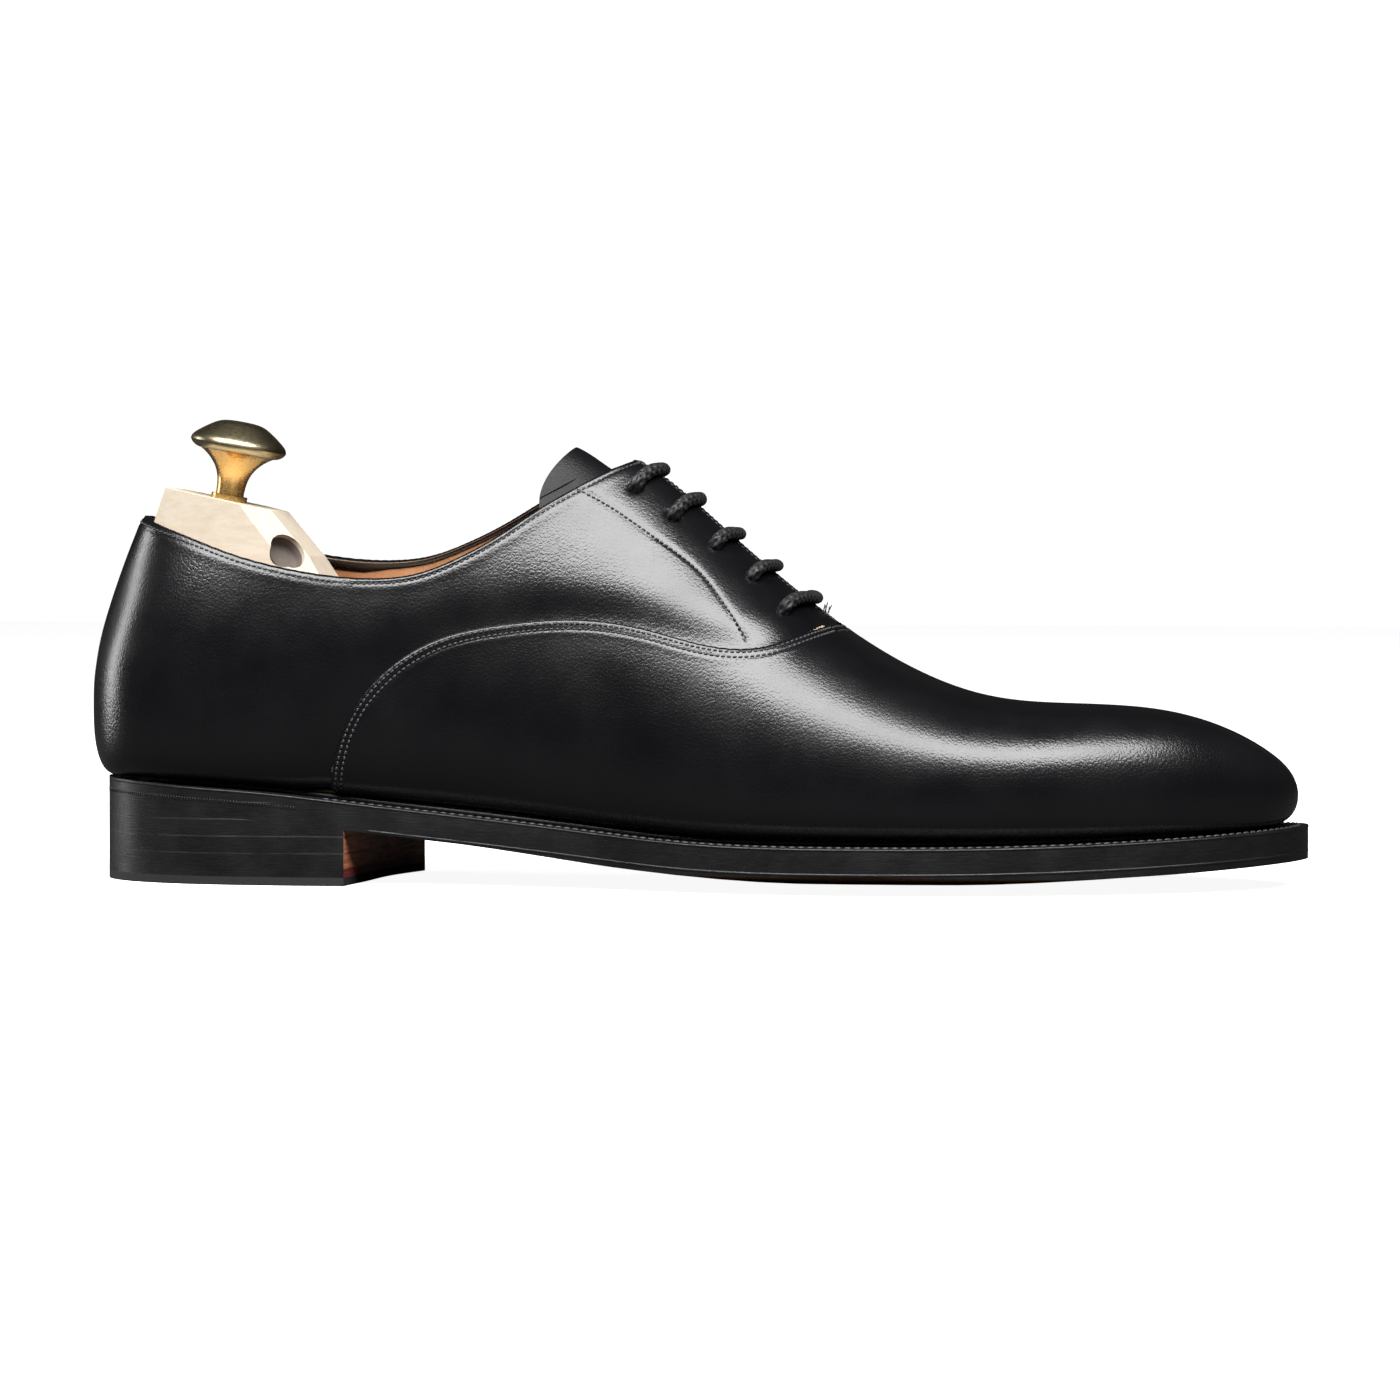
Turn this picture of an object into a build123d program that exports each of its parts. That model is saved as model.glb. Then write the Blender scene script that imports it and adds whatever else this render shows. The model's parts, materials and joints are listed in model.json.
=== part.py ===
from build123d import *
import math
import os

# Leather oxford shoe, right foot, with a hinged shoe tree. Millimetres.
# Working axes while building: X from the heel's back to the toe, -Y the outer (lateral) side, +Z up.
# Every part is moved by ORIGIN at the end, so that the origin is the middle of the box's bottom.

# ---- driving dimensions ----
LENGTH = 308.4  # the upper, heel to toe
ORIGIN_X = 155.46  # middle of the bounding box in working axes
ORIGIN_Y = 0.76
UPPER_T = 1.2  # outer leather
LAYER_T = 0.8  # stiffeners and backers
LINING_T = 1.0
SHELL_T = UPPER_T + LAYER_T + LINING_T
FIT = 0.1  # gap between parts that only touch
WELT_T = 3.1
SOLE_T = 4.1
EDGE_T = WELT_T + SOLE_T  # welt and outsole seen at the edge
INSOLE_T = 3.1
SOCK_T = 0.8
LIFT_T = 4.3
TOP_PIECE_T = 2.15
SOLE_ARCH = 4.6  # how far the middle of the tread hangs below its edge at the ball
LACE_R = 1.35
EYELET_R = 1.6
EYELET_RING_R = 2.7
LACE_OVER = 1.66  # lace centre above the leather
LACE_UNDER = -4.5  # lace centre below the leather, between lining and tongue
LACE_BEND = 1.7
AGLET_R = 1.5
AGLET_L = 20.0
FACING_GAP = 4.8
TONGUE_T = 1.9
TREE_T = 8.8  # depth of the tree's forepart below the outer leather
PIVOT_X = 140.0  # tree hinge
PIVOT_Z = 50.0
HEEL_BLOCK_R = 129.5  # back of the heel block about the hinge
PIN_R = 3.0
PIN_PLAY = 0.05
KNOB_TILT = 10.4
KNOB_BASE = (34.6, 0.0, 96.9)
STATIONS = 26  # cross-sections through the upper
WIDE = 80.0  # half-width of cutting prisms
PLATE_HALF = 1.5
PLATE_R = 8.0
ARM_R = 9.5
ARM_HALF = 9.0
BLOCK_HALF = 17.5
BLOCK_LOW = 34.0
BORE_R = 5.0
STUD_R = 2.0
HEEL_NAIL_R = 1.1
TIP_NAIL_R = 0.8
RAND_END = 60.0  # the rand runs round the heel to here, the welt from here to the toe
WAIST = 90.0  # the tread is arched from here forward
TREAD_STEPS = 24
TREAD_STEP = 10.0
STRIP_HALF = 4.5
SHANK_HALF = 7.0
SLIVER = 0.5  # mm3, smaller leftovers of a cut are dropped
SPREAD = 1.02  # control points stand this much outside the section's widest point

# ---- lines of the last, each a list of (distance from the heel, value) ----
TOP_LINE = [(0, 47), (1.3, 59), (4.4, 69.5), (9, 82), (13.6, 93), (20, 104), (32, 113), (55, 119),
            (85, 120.5), (112, 117.5), (130, 112.5), (144, 105.5), (165, 88), (186, 70.6),
            (204, 58.3), (227.5, 48.2), (250, 45.8), (271.5, 44.6), (286.4, 41.2), (300.5, 34.3),
            (305.6, 30), (308.4, 23)]
BOTTOM_LINE = [(0, 47), (0.6, 38.5), (2.4, 32), (5, 27.9), (12, 26.3), (30, 25), (50, 23.6),
               (75, 20.8), (100, 18.1), (130, 15), (155, 12.8), (175, 12.1), (200, 12), (225, 12.1),
               (250, 12.6), (275, 13.6), (295, 14.8), (303, 16), (306.5, 18), (308.4, 23)]
SEAT_LINE = [(-10, 26.9), (12, 25.9), (30, 24.8), (50, 23.5), (75, 20.8), (100, 18.1), (130, 15),
             (155, 12.8), (175, 12.1), (200, 12), (225, 12.1), (250, 12.6), (275, 13.6),
             (295, 14.7), (325, 16.6)]
LATERAL_LINE = [(0, 0), (1, 8.2), (4, 16), (9, 22.6), (16, 27.6), (28, 31.6), (45, 33.6), (65, 33.4),
                (90, 32.2), (115, 33.2), (135, 37), (155, 42.3), (175, 46.6), (195, 48.2),
                (215, 47), (235, 44), (255, 39), (272, 33.2), (286, 26.8), (296, 20.4),
                (303, 13.8), (308.4, 0)]
MEDIAL_LINE = [(0, 0), (1, 8.2), (4, 16), (9, 22.8), (16, 28), (28, 32), (45, 33.4), (65, 31.4),
               (90, 28.6), (115, 29.6), (135, 34.6), (155, 41), (175, 46.2), (195, 48.6),
               (215, 47.9), (235, 44.4), (255, 38.8), (272, 33), (286, 26.8), (296, 20.6),
               (303, 14), (308.4, 0)]
CENTRE_LINE = [(0, 0), (100, 0), (200, 0.5), (260, 2.5), (308.4, 5)]
WIDEST_LINE = [(0, 47), (20, 46), (50, 45), (80, 43), (110, 39), (140, 33), (170, 28), (200, 25.5),
               (240, 24.5), (275, 23.5), (308.4, 23)]
FEATHER_LINE = [(0, 0.88), (60, 0.88), (100, 0.82), (150, 0.88), (200, 0.93), (308.4, 0.9)]
SHOULDER_OUT = [(0, 0.97), (60, 0.96), (140, 0.93), (200, 0.97), (308.4, 0.97)]
SHOULDER_UP = [(0, 0.3), (60, 0.3), (140, 0.33), (200, 0.4), (308.4, 0.45)]
CREST_OUT = [(0, 0.72), (60, 0.72), (140, 0.56), (200, 0.66), (308.4, 0.7)]
CREST_UP = [(0, 0.62), (60, 0.62), (140, 0.76), (200, 0.88), (308.4, 0.9)]
RIDGE_OUT = [(0, 0.4), (60, 0.38), (140, 0.22), (200, 0.3), (308.4, 0.38)]

# ---- seams and edges in the side view (x, z) ----
VAMP_SEAM = [(60.5, 24.6), (61.2, 28.6), (64, 38), (68.3, 46), (73.8, 52.2), (81.3, 58.2),
             (89.5, 62.3), (105.8, 65.9), (123.4, 67.2), (141.8, 64.9), (158.1, 61), (173.3, 61),
             (184.2, 65), (189.3, 67.2)]
TOPLINE_LATERAL = [(0, 96.5), (13.6, 93), (27, 88), (40, 83), (52.6, 79.5), (65.4, 77.7), (73, 77.4),
                   (83, 78.5), (93.6, 82.6), (104, 88.5), (114, 95.4), (125, 101.8), (132, 105.6),
                   (140, 108.6), (146, 111)]
TOPLINE_MEDIAL = [(0, 96.5), (13.6, 93), (27, 89.3), (40, 86), (52.6, 83.6), (65.4, 82), (73, 81.8),
                  (83, 82.8), (93.6, 86.4), (104, 91.6), (114, 97.6), (125, 103.2), (132, 106.4),
                  (140, 108.8), (146, 111)]
COUNTER_EDGE = [(-5, 66), (20, 64), (45, 56), (66, 44), (80, 20)]
TONGUE_EDGE = [(117.5, 95), (117.7, 99.5), (120.2, 105), (125, 110.5), (130, 116)]
EYELETS = [(177.5, 69.9), (169.3, 78.1), (159.8, 85.9), (149.4, 93.1), (139.7, 100.3)]
RIDGE_AT = [184.4, 173.9, 164.4, 154.6, 145.4]  # where each lace bar crosses the ridge

# ---- outline of the sole in plan (x, y), anticlockwise from the heel's back ----
SOLE_OUTLINE = [(4, 0), (6.2, -11), (12, -19.5), (25, -27.5), (45, -31.5), (62, -32), (78, -31.2),
                (96, -31), (115, -32.6), (135, -37), (155, -43.5), (175, -48.5), (195, -50.5),
                (215, -49.4), (235, -45.8), (255, -40), (275, -32), (290, -23.6), (302, -13),
                (309, -2), (311, 6), (309.5, 14), (302, 22.5), (290, 30), (275, 36.6), (258, 42),
                (240, 46.9), (220, 50.8), (203, 52), (185, 50), (165, 44.2), (145, 36),
                (125, 29.2), (105, 26.6), (85, 28), (68, 30.6), (48, 31.6), (27, 27.8),
                (12, 19.5), (6.2, 11)]
MARGIN_SCALE_X = 0.94  # inner edge of the lasting margin, as a scaled outline
MARGIN_SCALE_Y = 0.78
BREAST = [(70, -60), (70.5, -31), (73.2, -10), (75.4, 8), (81.5, 30), (84, 60)]  # front of the heel


# ---- curves ----
def station(x):
    """Angle of a cross-section: even steps crowd together at the heel and the toe."""
    return math.acos(max(-1.0, min(1.0, 1 - 2 * x / LENGTH))) / math.pi


def at_station(u):
    return LENGTH * (1 - math.cos(math.pi * u)) / 2


def curve(points, place=station):
    """Natural cubic spline through (x, value) points, smooth in place(x)."""
    t = [place(x) for x, _ in points]
    v = [value for _, value in points]
    gaps = [b - a for a, b in zip(t, t[1:])]
    count = len(t)
    lead = [0.0] * count
    rest = [0.0] * count
    for i in range(1, count - 1):
        bend = 6 * ((v[i + 1] - v[i]) / gaps[i] - (v[i] - v[i - 1]) / gaps[i - 1])
        pivot = 2 * (gaps[i - 1] + gaps[i]) - gaps[i - 1] * lead[i - 1]
        lead[i] = gaps[i] / pivot
        rest[i] = (bend - gaps[i - 1] * rest[i - 1]) / pivot
    m = [0.0] * count
    for i in range(count - 2, 0, -1):
        m[i] = rest[i] - lead[i] * m[i + 1]

    def value(x):
        s = place(x)
        i = 0
        while i < count - 2 and s > t[i + 1]:
            i += 1
        a = t[i + 1] - s
        b = s - t[i]
        g = gaps[i]
        return ((m[i] * a ** 3 + m[i + 1] * b ** 3) / (6 * g) + (v[i] / g - m[i] * g / 6) * a
                + (v[i + 1] / g - m[i + 1] * g / 6) * b)

    return value


top = curve(TOP_LINE)
bottom = curve(BOTTOM_LINE)
lateral = curve(LATERAL_LINE)
medial = curve(MEDIAL_LINE)
centre = curve(CENTRE_LINE)
widest = curve(WIDEST_LINE)
feather = curve(FEATHER_LINE)
shoulder_out = curve(SHOULDER_OUT)
shoulder_up = curve(SHOULDER_UP)
crest_out = curve(CREST_OUT)
crest_up = curve(CREST_UP)
ridge_out = curve(RIDGE_OUT)
seat = curve(SEAT_LINE, place=float)
RINGS = 14  # control points round a section; 0 is the bottom, 7 the ridge
RIDGE = 7


# ---- the last's surface ----
def ring(x, grow=0.0):
    """Control points (y, z) of the section at x, from the bottom round the lateral side."""
    low = bottom(x) - grow
    high = top(x) + grow
    wide = widest(x)
    sides = []
    for sign, line in ((-1, lateral), (1, medial)):
        w = (line(x) + grow) * SPREAD
        foot = w * feather(x)
        half = [(0.55 * foot, low), (foot, low + 0.02 * (wide - low)), (w, low + 0.5 * (wide - low)),
                (w * shoulder_out(x), wide + shoulder_up(x) * (high - wide)),
                (w * crest_out(x), wide + crest_up(x) * (high - wide)), (w * ridge_out(x), high)]
        sides.append([(centre(x) + sign * y, z) for y, z in half])
    return [(centre(x), low)] + sides[0] + [(centre(x), high)] + sides[1][::-1]


def skin(x, s, grow=0.0):
    """Point of the surface: x along the shoe, s round the section (0 bottom, 7 ridge)."""
    points = ring(x, grow)
    i = math.floor(s)
    f = s - i
    weights = ((1 - f) ** 3, 3 * f ** 3 - 6 * f ** 2 + 4, -3 * f ** 3 + 3 * f ** 2 + 3 * f + 1, f ** 3)
    y = sum(w * points[(i + k - 1) % RINGS][0] for k, w in enumerate(weights)) / 6
    z = sum(w * points[(i + k - 1) % RINGS][1] for k, w in enumerate(weights)) / 6
    return Vector(x, y, z)


def normal(x, s):
    """Outward direction of the surface."""
    u = station(x)
    step = 1e-4
    along = skin(at_station(min(u + step, 1)), s) - skin(at_station(max(u - step, 0)), s)
    around = skin(x, s + 1e-3) - skin(x, s - 1e-3)
    return along.cross(around).normalized()


def find(x, side, axis, value):
    """Ring parameter where the section at x has the given height ('Z') or width ('Y')."""
    low, high = (1.2, RIDGE) if side < 0 else (RINGS - 1.2, RIDGE)
    for _ in range(40):
        mid = (low + high) / 2
        point = skin(x, mid)
        above = point.Z > value if axis == "Z" else abs(point.Y - centre(x)) < abs(value - centre(x))
        low, high = (low, mid) if above else (mid, high)
    return (low + high) / 2


def on_side(x, z, side, height=0.0):
    """Point over (x, z) of the side view, a height above the leather."""
    s = find(x, side, "Z", z)
    return skin(x, s) + normal(x, s) * height


def on_top(x, y, height=0.0):
    """Point over (x, y) of the plan, on the upper part of the surface."""
    s = find(x, -1 if y < centre(x) else 1, "Y", y)
    return skin(x, s) + normal(x, s) * height


def form(depth):
    """Solid of everything more than depth inside the outer leather's surface."""
    stations = [at_station(i / (STATIONS + 1)) for i in range(1, STATIONS + 1)]
    wires = []
    for x in stations:
        points = [skin(x, s) - normal(x, s) * depth for s in range(RINGS)]
        wires.append(Wire([Edge.make_spline(points, periodic=True, parameters=list(range(RINGS + 1)))]))
    heel_tip = Vertex(depth, centre(0), top(0))
    toe_tip = Vertex(LENGTH - depth, centre(LENGTH), top(LENGTH))
    return Solid.make_loft([heel_tip] + wires + [toe_tip])


def deep_form(depth, x0, x1, count):
    """Solid well inside the shoe between x0 and x1; depth is a number or a function of x."""
    wires = []
    for i in range(count):
        x = x0 + (x1 - x0) * i / (count - 1)
        inset = depth(x) if callable(depth) else depth
        points = [skin(x, s, -inset) for s in range(RINGS)]
        wires.append(Wire([Edge.make_spline(points, periodic=True, parameters=list(range(RINGS + 1)))]))
    return Solid.make_loft(wires)


# ---- cutting prisms ----
def side_prism(edges, y0=-WIDE, y1=WIDE):
    """Solid across the shoe from edges drawn in the side view at y = 0."""
    face = Face(Wire(edges))
    return Solid.extrude(Pos(0, y0, 0) * face, Vector(0, y1 - y0, 0))


def side_points(points):
    return [Vector(x, 0, z) for x, z in points]


def region(curve_points, corners):
    """Edges of a side-view region: a spline, then straight lines through the corners back to it."""
    path = side_points(curve_points)
    loop = [path[-1]] + side_points(corners) + [path[0]]
    return [Edge.make_spline(path)] + [Edge.make_line(a, b) for a, b in zip(loop, loop[1:])]


def band(low, high, x0, x1, count=30):
    """Solid between two height functions of x."""
    places = [x0 + (x1 - x0) * i / count for i in range(count + 1)]
    lower = side_points([(x, low(x)) for x in places])
    upper = side_points([(x, high(x)) for x in places])
    edges = [Edge.make_spline(lower), Edge.make_line(lower[-1], upper[-1]),
             Edge.make_spline(upper[::-1]), Edge.make_line(upper[0], lower[0])]
    return side_prism(edges)


def plan_prism(points, scale_x=1.0, scale_y=1.0, z0=-10.0, z1=90.0):
    """Upright solid on a closed outline of the plan, scaled about the middle of the shoe."""
    middle = LENGTH / 2
    loop = [Vector(middle + (x - middle) * scale_x, centre(x) + (y - centre(x)) * scale_y, z0)
            for x, y in points]
    return Solid.extrude(Face(Wire([Edge.make_spline(loop, periodic=True)])), Vector(0, 0, z1 - z0))


def slab(x0, x1, y0=-WIDE, y1=WIDE, z0=-20.0, z1=160.0):
    return Pos((x0 + x1) / 2, (y0 + y1) / 2, (z0 + z1) / 2) * Box(x1 - x0, y1 - y0, z1 - z0)


def rod(start, end, radius):
    """Cylinder from one point to another."""
    line = end - start
    return Plane(origin=start, z_dir=line) * Cylinder(
        radius, line.length, align=(Align.CENTER, Align.CENTER, Align.MIN))


def join(shape):
    """One shape from the result of a boolean, which may be a list, without its slivers."""
    solids = [solid for solid in shape.solids() if solid.volume > SLIVER]
    return solids[0] if len(solids) == 1 else Compound(children=list(solids))


parts = {}


# ---- shells of the upper ----
outer = form(0)
under_upper = form(UPPER_T)
under_layer = form(UPPER_T + LAYER_T)
inside = form(SHELL_T)
cavity = form(SHELL_T + FIT)

margin_plan = plan_prism(SOLE_OUTLINE, MARGIN_SCALE_X, MARGIN_SCALE_Y)
margin = margin_plan & band(lambda x: seat(x) - WELT_T, lambda x: seat(x) + SHELL_T + 4, -5, 315)
over_topline = side_prism(region(TOPLINE_LATERAL, [(146, 160), (-20, 160), (-20, 96.5)]), -WIDE, 0)
over_topline += side_prism(region(TOPLINE_MEDIAL, [(146, 160), (-20, 160), (-20, 96.5)]), 0, WIDE)
lacing_slot = slab(136, VAMP_SEAM[-1][0], -FACING_GAP / 2, FACING_GAP / 2, 55)

leather = outer - under_upper - margin - over_topline
layer = under_upper - under_layer - margin - over_topline - lacing_slot
lining = under_layer - inside - margin - over_topline - lacing_slot

vamp_zone = side_prism(region(VAMP_SEAM, [(191, 95), (330, 95), (330, -10), (59, -10)]))
counter_zone = side_prism(region(COUNTER_EDGE, [(80, -10), (-20, -10), (-20, 66)]))
toe_zone = slab(250, 330)
lateral_zone = slab(-20, 340, -WIDE, 0)
strip_zone = slab(-20, 30, -STRIP_HALF, STRIP_HALF)

holes = []
for x, z in EYELETS:
    for side in (-1, 1):
        holes.append((on_side(x, z, side), on_side(x, z, side, 1.0) - on_side(x, z, side)))
drills = [rod(p - n * (SHELL_T + 2), p + n * 2, EYELET_R) for p, n in holes]
rings = [rod(p - n * (UPPER_T + LAYER_T + 0.5), p, EYELET_RING_R) for p, n in holes]

parts["vamp"] = leather & vamp_zone
quarters = leather - vamp_zone - lacing_slot - drills
parts["back_strip"] = quarters & strip_zone
quarters -= strip_zone
parts["quarter_lateral"] = quarters & lateral_zone
parts["quarter_medial"] = quarters - lateral_zone
parts["blind_eyelets"] = Compound(children=[
    solid for cut, bore in zip(rings, drills) for solid in ((layer & cut) - bore).solids()])
parts["heel_counter"] = layer & counter_zone
parts["toe_puff"] = layer & toe_zone
parts["vamp_backer"] = (layer & vamp_zone) - counter_zone - toe_zone
parts["quarter_backers"] = layer - vamp_zone - counter_zone - rings
parts["vamp_lining"] = lining & vamp_zone
quarter_lining = lining - vamp_zone - drills
parts["quarter_lining_lateral"] = quarter_lining & lateral_zone
parts["quarter_lining_medial"] = quarter_lining - lateral_zone

# ---- bottom: insole, cork, shank, welt, outsole ----
insole_top = SHELL_T + FIT + INSOLE_T
shank = slab(58, 150, -SHANK_HALF, SHANK_HALF) & band(lambda x: seat(x) - 0.9, lambda x: seat(x) + 0.7, 50, 160)
parts["shank"] = shank
cork = margin_plan & band(lambda x: seat(x) - WELT_T, lambda x: seat(x) + SHELL_T, -5, 315)
parts["cork_filler"] = cork - shank
parts["insole"] = cavity & band(lambda x: seat(x) + SHELL_T + FIT, lambda x: seat(x) + insole_top, -5, 315)
parts["sock_liner"] = cavity & slab(-5, 98) & band(
    lambda x: seat(x) + insole_top, lambda x: seat(x) + insole_top + SOCK_T, -5, 110)

sole_plan = plan_prism(SOLE_OUTLINE)
frame_plan = sole_plan - margin_plan
edge_band = frame_plan & band(lambda x: seat(x) - WELT_T, lambda x: seat(x) - FIT, -5, 320)
parts["heel_seat_rand"] = edge_band & slab(-10, RAND_END)
parts["welt"] = edge_band & slab(RAND_END, 330)


def arch(x):
    """Depth of the tread's middle below its edge."""
    rise = min(1.0, max(0.0, (x - 90) / 100))
    fall = min(1.0, max(0.0, (x - 220) / 91))
    return SOLE_ARCH * rise * rise * (3 - 2 * rise) * (1 - 0.7 * fall * fall * (3 - 2 * fall))


def tread_wire(x):
    """Section of the outsole, arched underneath."""
    half = 60.0
    edge = seat(x) - EDGE_T
    lid = seat(x) - WELT_T
    arc = [Vector(x, y, edge - arch(x) * (1 - (y / 50) ** 2)) for y in (-half, -30, 0, 30, half)]
    corners = [arc[-1], Vector(x, half, lid), Vector(x, -half, lid), arc[0]]
    return Wire([Edge.make_spline(arc)] + [Edge.make_line(a, b) for a, b in zip(corners, corners[1:])])


heel_sole = sole_plan & slab(-10, WAIST) & band(
    lambda x: seat(x) - EDGE_T, lambda x: seat(x) - WELT_T, -5, 320)
tread_wires = [tread_wire(WAIST - 6 + i * TREAD_STEP) for i in range(TREAD_STEPS)]
tread = sole_plan & slab(WAIST, 330) & Solid.make_loft(tread_wires)
outsole = heel_sole + tread

# ---- heel ----
breast_points = [Vector(x, y, -10) for x, y in BREAST]
breast_loop = [breast_points[-1], Vector(-20, 60, -10), Vector(-20, -60, -10), breast_points[0]]
breast_face = Face(Wire([Edge.make_spline(breast_points)]
                        + [Edge.make_line(a, b) for a, b in zip(breast_loop, breast_loop[1:])]))
heel_plan = sole_plan & Solid.extrude(breast_face, Vector(0, 0, 60))
tip_top = 2 * TOP_PIECE_T
stack_top = tip_top + 2 * LIFT_T
heel_nails = [rod(Vector(x, y, tip_top), Vector(x, y, 18.6), HEEL_NAIL_R)
              for x, y in ((18, 0), (32, -15), (32, 15), (56, -17), (56, 17))]
tip_nails = []
for step in range(-4, 5):
    turn = math.radians(step * 22.5)
    tip_nails.append((31 - 21.5 * math.cos(turn), 23.5 * math.sin(turn)))
tip_nails += [(x, y) for x in (44, 57) for y in (-25.5, 25.5)]
tip_pins = [rod(Vector(x, y, 0), Vector(x, y, tip_top), TIP_NAIL_R) for x, y in tip_nails]


def lift(low, high):
    return heel_plan & slab(-10, 100, z0=low, z1=high)


parts["top_piece_rubber"] = lift(0, TOP_PIECE_T) - tip_pins
parts["top_piece_leather"] = lift(TOP_PIECE_T, tip_top) - tip_pins
parts["heel_lift_lower"] = lift(tip_top, tip_top + LIFT_T) - heel_nails
parts["heel_lift_upper"] = lift(tip_top + LIFT_T, stack_top) - heel_nails
parts["heel_wedge"] = (heel_plan & band(lambda x: stack_top, lambda x: seat(x) - EDGE_T, -5, 100)) - heel_nails
parts["outsole"] = outsole - heel_nails
parts["heel_nails"] = Compound(children=heel_nails)
parts["top_piece_nails"] = Compound(children=tip_pins)


# ---- tongue ----
def tongue_depth(x):
    """Clear of the lining at its free end, below the lace's inner runs under the facings."""
    f = min(1.0, max(0.0, (x - 124) / 13))
    return SHELL_T + 0.5 + 2.7 * f * f * (3 - 2 * f)


tongue_zone = side_prism(region(TONGUE_EDGE, [(206, 116), (206, 47), (186, 52), (150, 78), (128, 92)]))
tongue_inner = deep_form(lambda x: tongue_depth(x) + TONGUE_T, 110, 208, 22)
tongue_shell = deep_form(tongue_depth, 112, 206, 22) - tongue_inner
tongue = tongue_shell & tongue_zone

# ---- lace: straight bars outside, runs between the holes inside, ends tucked in ----
AWAY = (-0.63, -0.78)  # side-view direction from the ridge down across the facing


def under(hole, side, shift=0.0):
    x, z = EYELETS[hole]
    return on_side(x + AWAY[0] * shift, z + AWAY[1] * shift, side, LACE_UNDER)


def bar(hole, side):
    """Points of a bar that starts over the given side's hole and crosses the ridge."""
    x, z = EYELETS[hole]
    start = on_side(x, z, side)
    ridge = RIDGE_AT[hole]
    points = []
    for share in (1.0, 0.62, 0.25, -0.25, -0.62, -1.0):
        place = ridge + (x - ridge) * abs(share) ** 1.4
        if abs(share) == 1.0:
            points.append(on_side(x, z, side * share, LACE_OVER))
        else:
            points.append(on_top(place, centre(x) + (start.Y - centre(x)) * share, LACE_OVER + 0.12))
    return points


def tail(side, places):
    return [on_side(x, z, side, LACE_UNDER) for x, z in places]


TAIL_LATERAL = [(145.5, 85.5), (158, 73), (181, 55), (203, 43), (226, 35.5)]
TAIL_MEDIAL = [(133.5, 92), (147, 78), (168, 61), (192, 46.5), (215, 38)]
route = tail(-1, TAIL_LATERAL)[::-1] + [under(3, -1)] + bar(3, -1) + [under(3, 1)]
route += [under(2, 1, -3.3), under(1, 1)] + bar(1, 1) + [under(1, -1), under(0, -1)] + bar(0, -1)
route += [under(0, 1), under(1, 1, 3.4), under(2, 1)] + bar(2, 1) + [under(2, -1), under(3, -1, -3.3)]
route += [under(4, -1)] + bar(4, -1) + [under(4, 1)] + tail(1, TAIL_MEDIAL)
tips = [route[0], route[-1]]
route[0] += (route[1] - route[0]).normalized() * AGLET_L
route[-1] += (route[-2] - route[-1]).normalized() * AGLET_L
radii = []
for before, here, after in zip(route, route[1:], route[2:]):
    turn = math.radians((here - before).get_angle(after - here))
    room = 0.45 * min((here - before).length, (after - here).length) / math.tan(turn / 2)
    radii.append(max(0.3, min(LACE_BEND if turn > 0.9 else 14.0, room)))
lace_path = FilletPolyline(*route, radius=radii)
lace_start = Plane(origin=lace_path @ 0, z_dir=lace_path % 0)
parts["lace"] = sweep(lace_start * Circle(LACE_R), path=lace_path)
lace_groove = sweep(lace_start * Circle(LACE_R + FIT), path=lace_path)
parts["tongue"] = tongue - lace_groove - parts["quarter_lining_lateral"] - parts["quarter_lining_medial"]
ends = [rod(lace_path @ 0, tips[0], AGLET_R), rod(lace_path @ 1, tips[1], AGLET_R)]
parts["aglets"] = Compound(children=ends)
print("lace length", round(lace_path.length + 2 * AGLET_L), "shortest bend", round(min(radii), 2))

# ---- shoe tree: forepart held in the shoe ----
tree_floor = insole_top + FIT
forepart = deep_form(TREE_T, 150, 292, 20)
forepart_profile = [(153, 16), (153, 58), (166, 74), (176, 80), (300, 80), (300, 10)]
loop = side_points(forepart_profile + forepart_profile[:1])
forepart &= side_prism([Edge.make_line(a, b) for a, b in zip(loop, loop[1:])])
forepart &= band(lambda x: seat(x) + tree_floor + 0.2, lambda x: 100.0, 140, 300)
pivot = Pos(PIVOT_X, 0, PIVOT_Z) * Rot(90, 0, 0)
plate = pivot * Cylinder(PLATE_R, 2 * PLATE_HALF)
plate += slab(PIVOT_X, 186, -PLATE_HALF, PLATE_HALF, PIVOT_Z - PLATE_R, PIVOT_Z + PLATE_R * 0.6)
plate -= pivot * Cylinder(PIN_R + PIN_PLAY, 20)
plate_pins = [Pos(x, 0, PIVOT_Z - 2) * Rot(90, 0, 0) * Cylinder(1.5, 24) for x in (164, 178)]
parts["tree_forepart"] = forepart - plate - plate_pins
parts["tree_hinge_plate"] = plate - plate_pins
parts["tree_plate_pins"] = Compound(children=plate_pins)

# ---- shoe tree: heel block with its arm, which swings up about the hinge ----
def block_back(z):
    return PIVOT_X - math.sqrt(HEEL_BLOCK_R ** 2 - (z - PIVOT_Z) ** 2)


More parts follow.
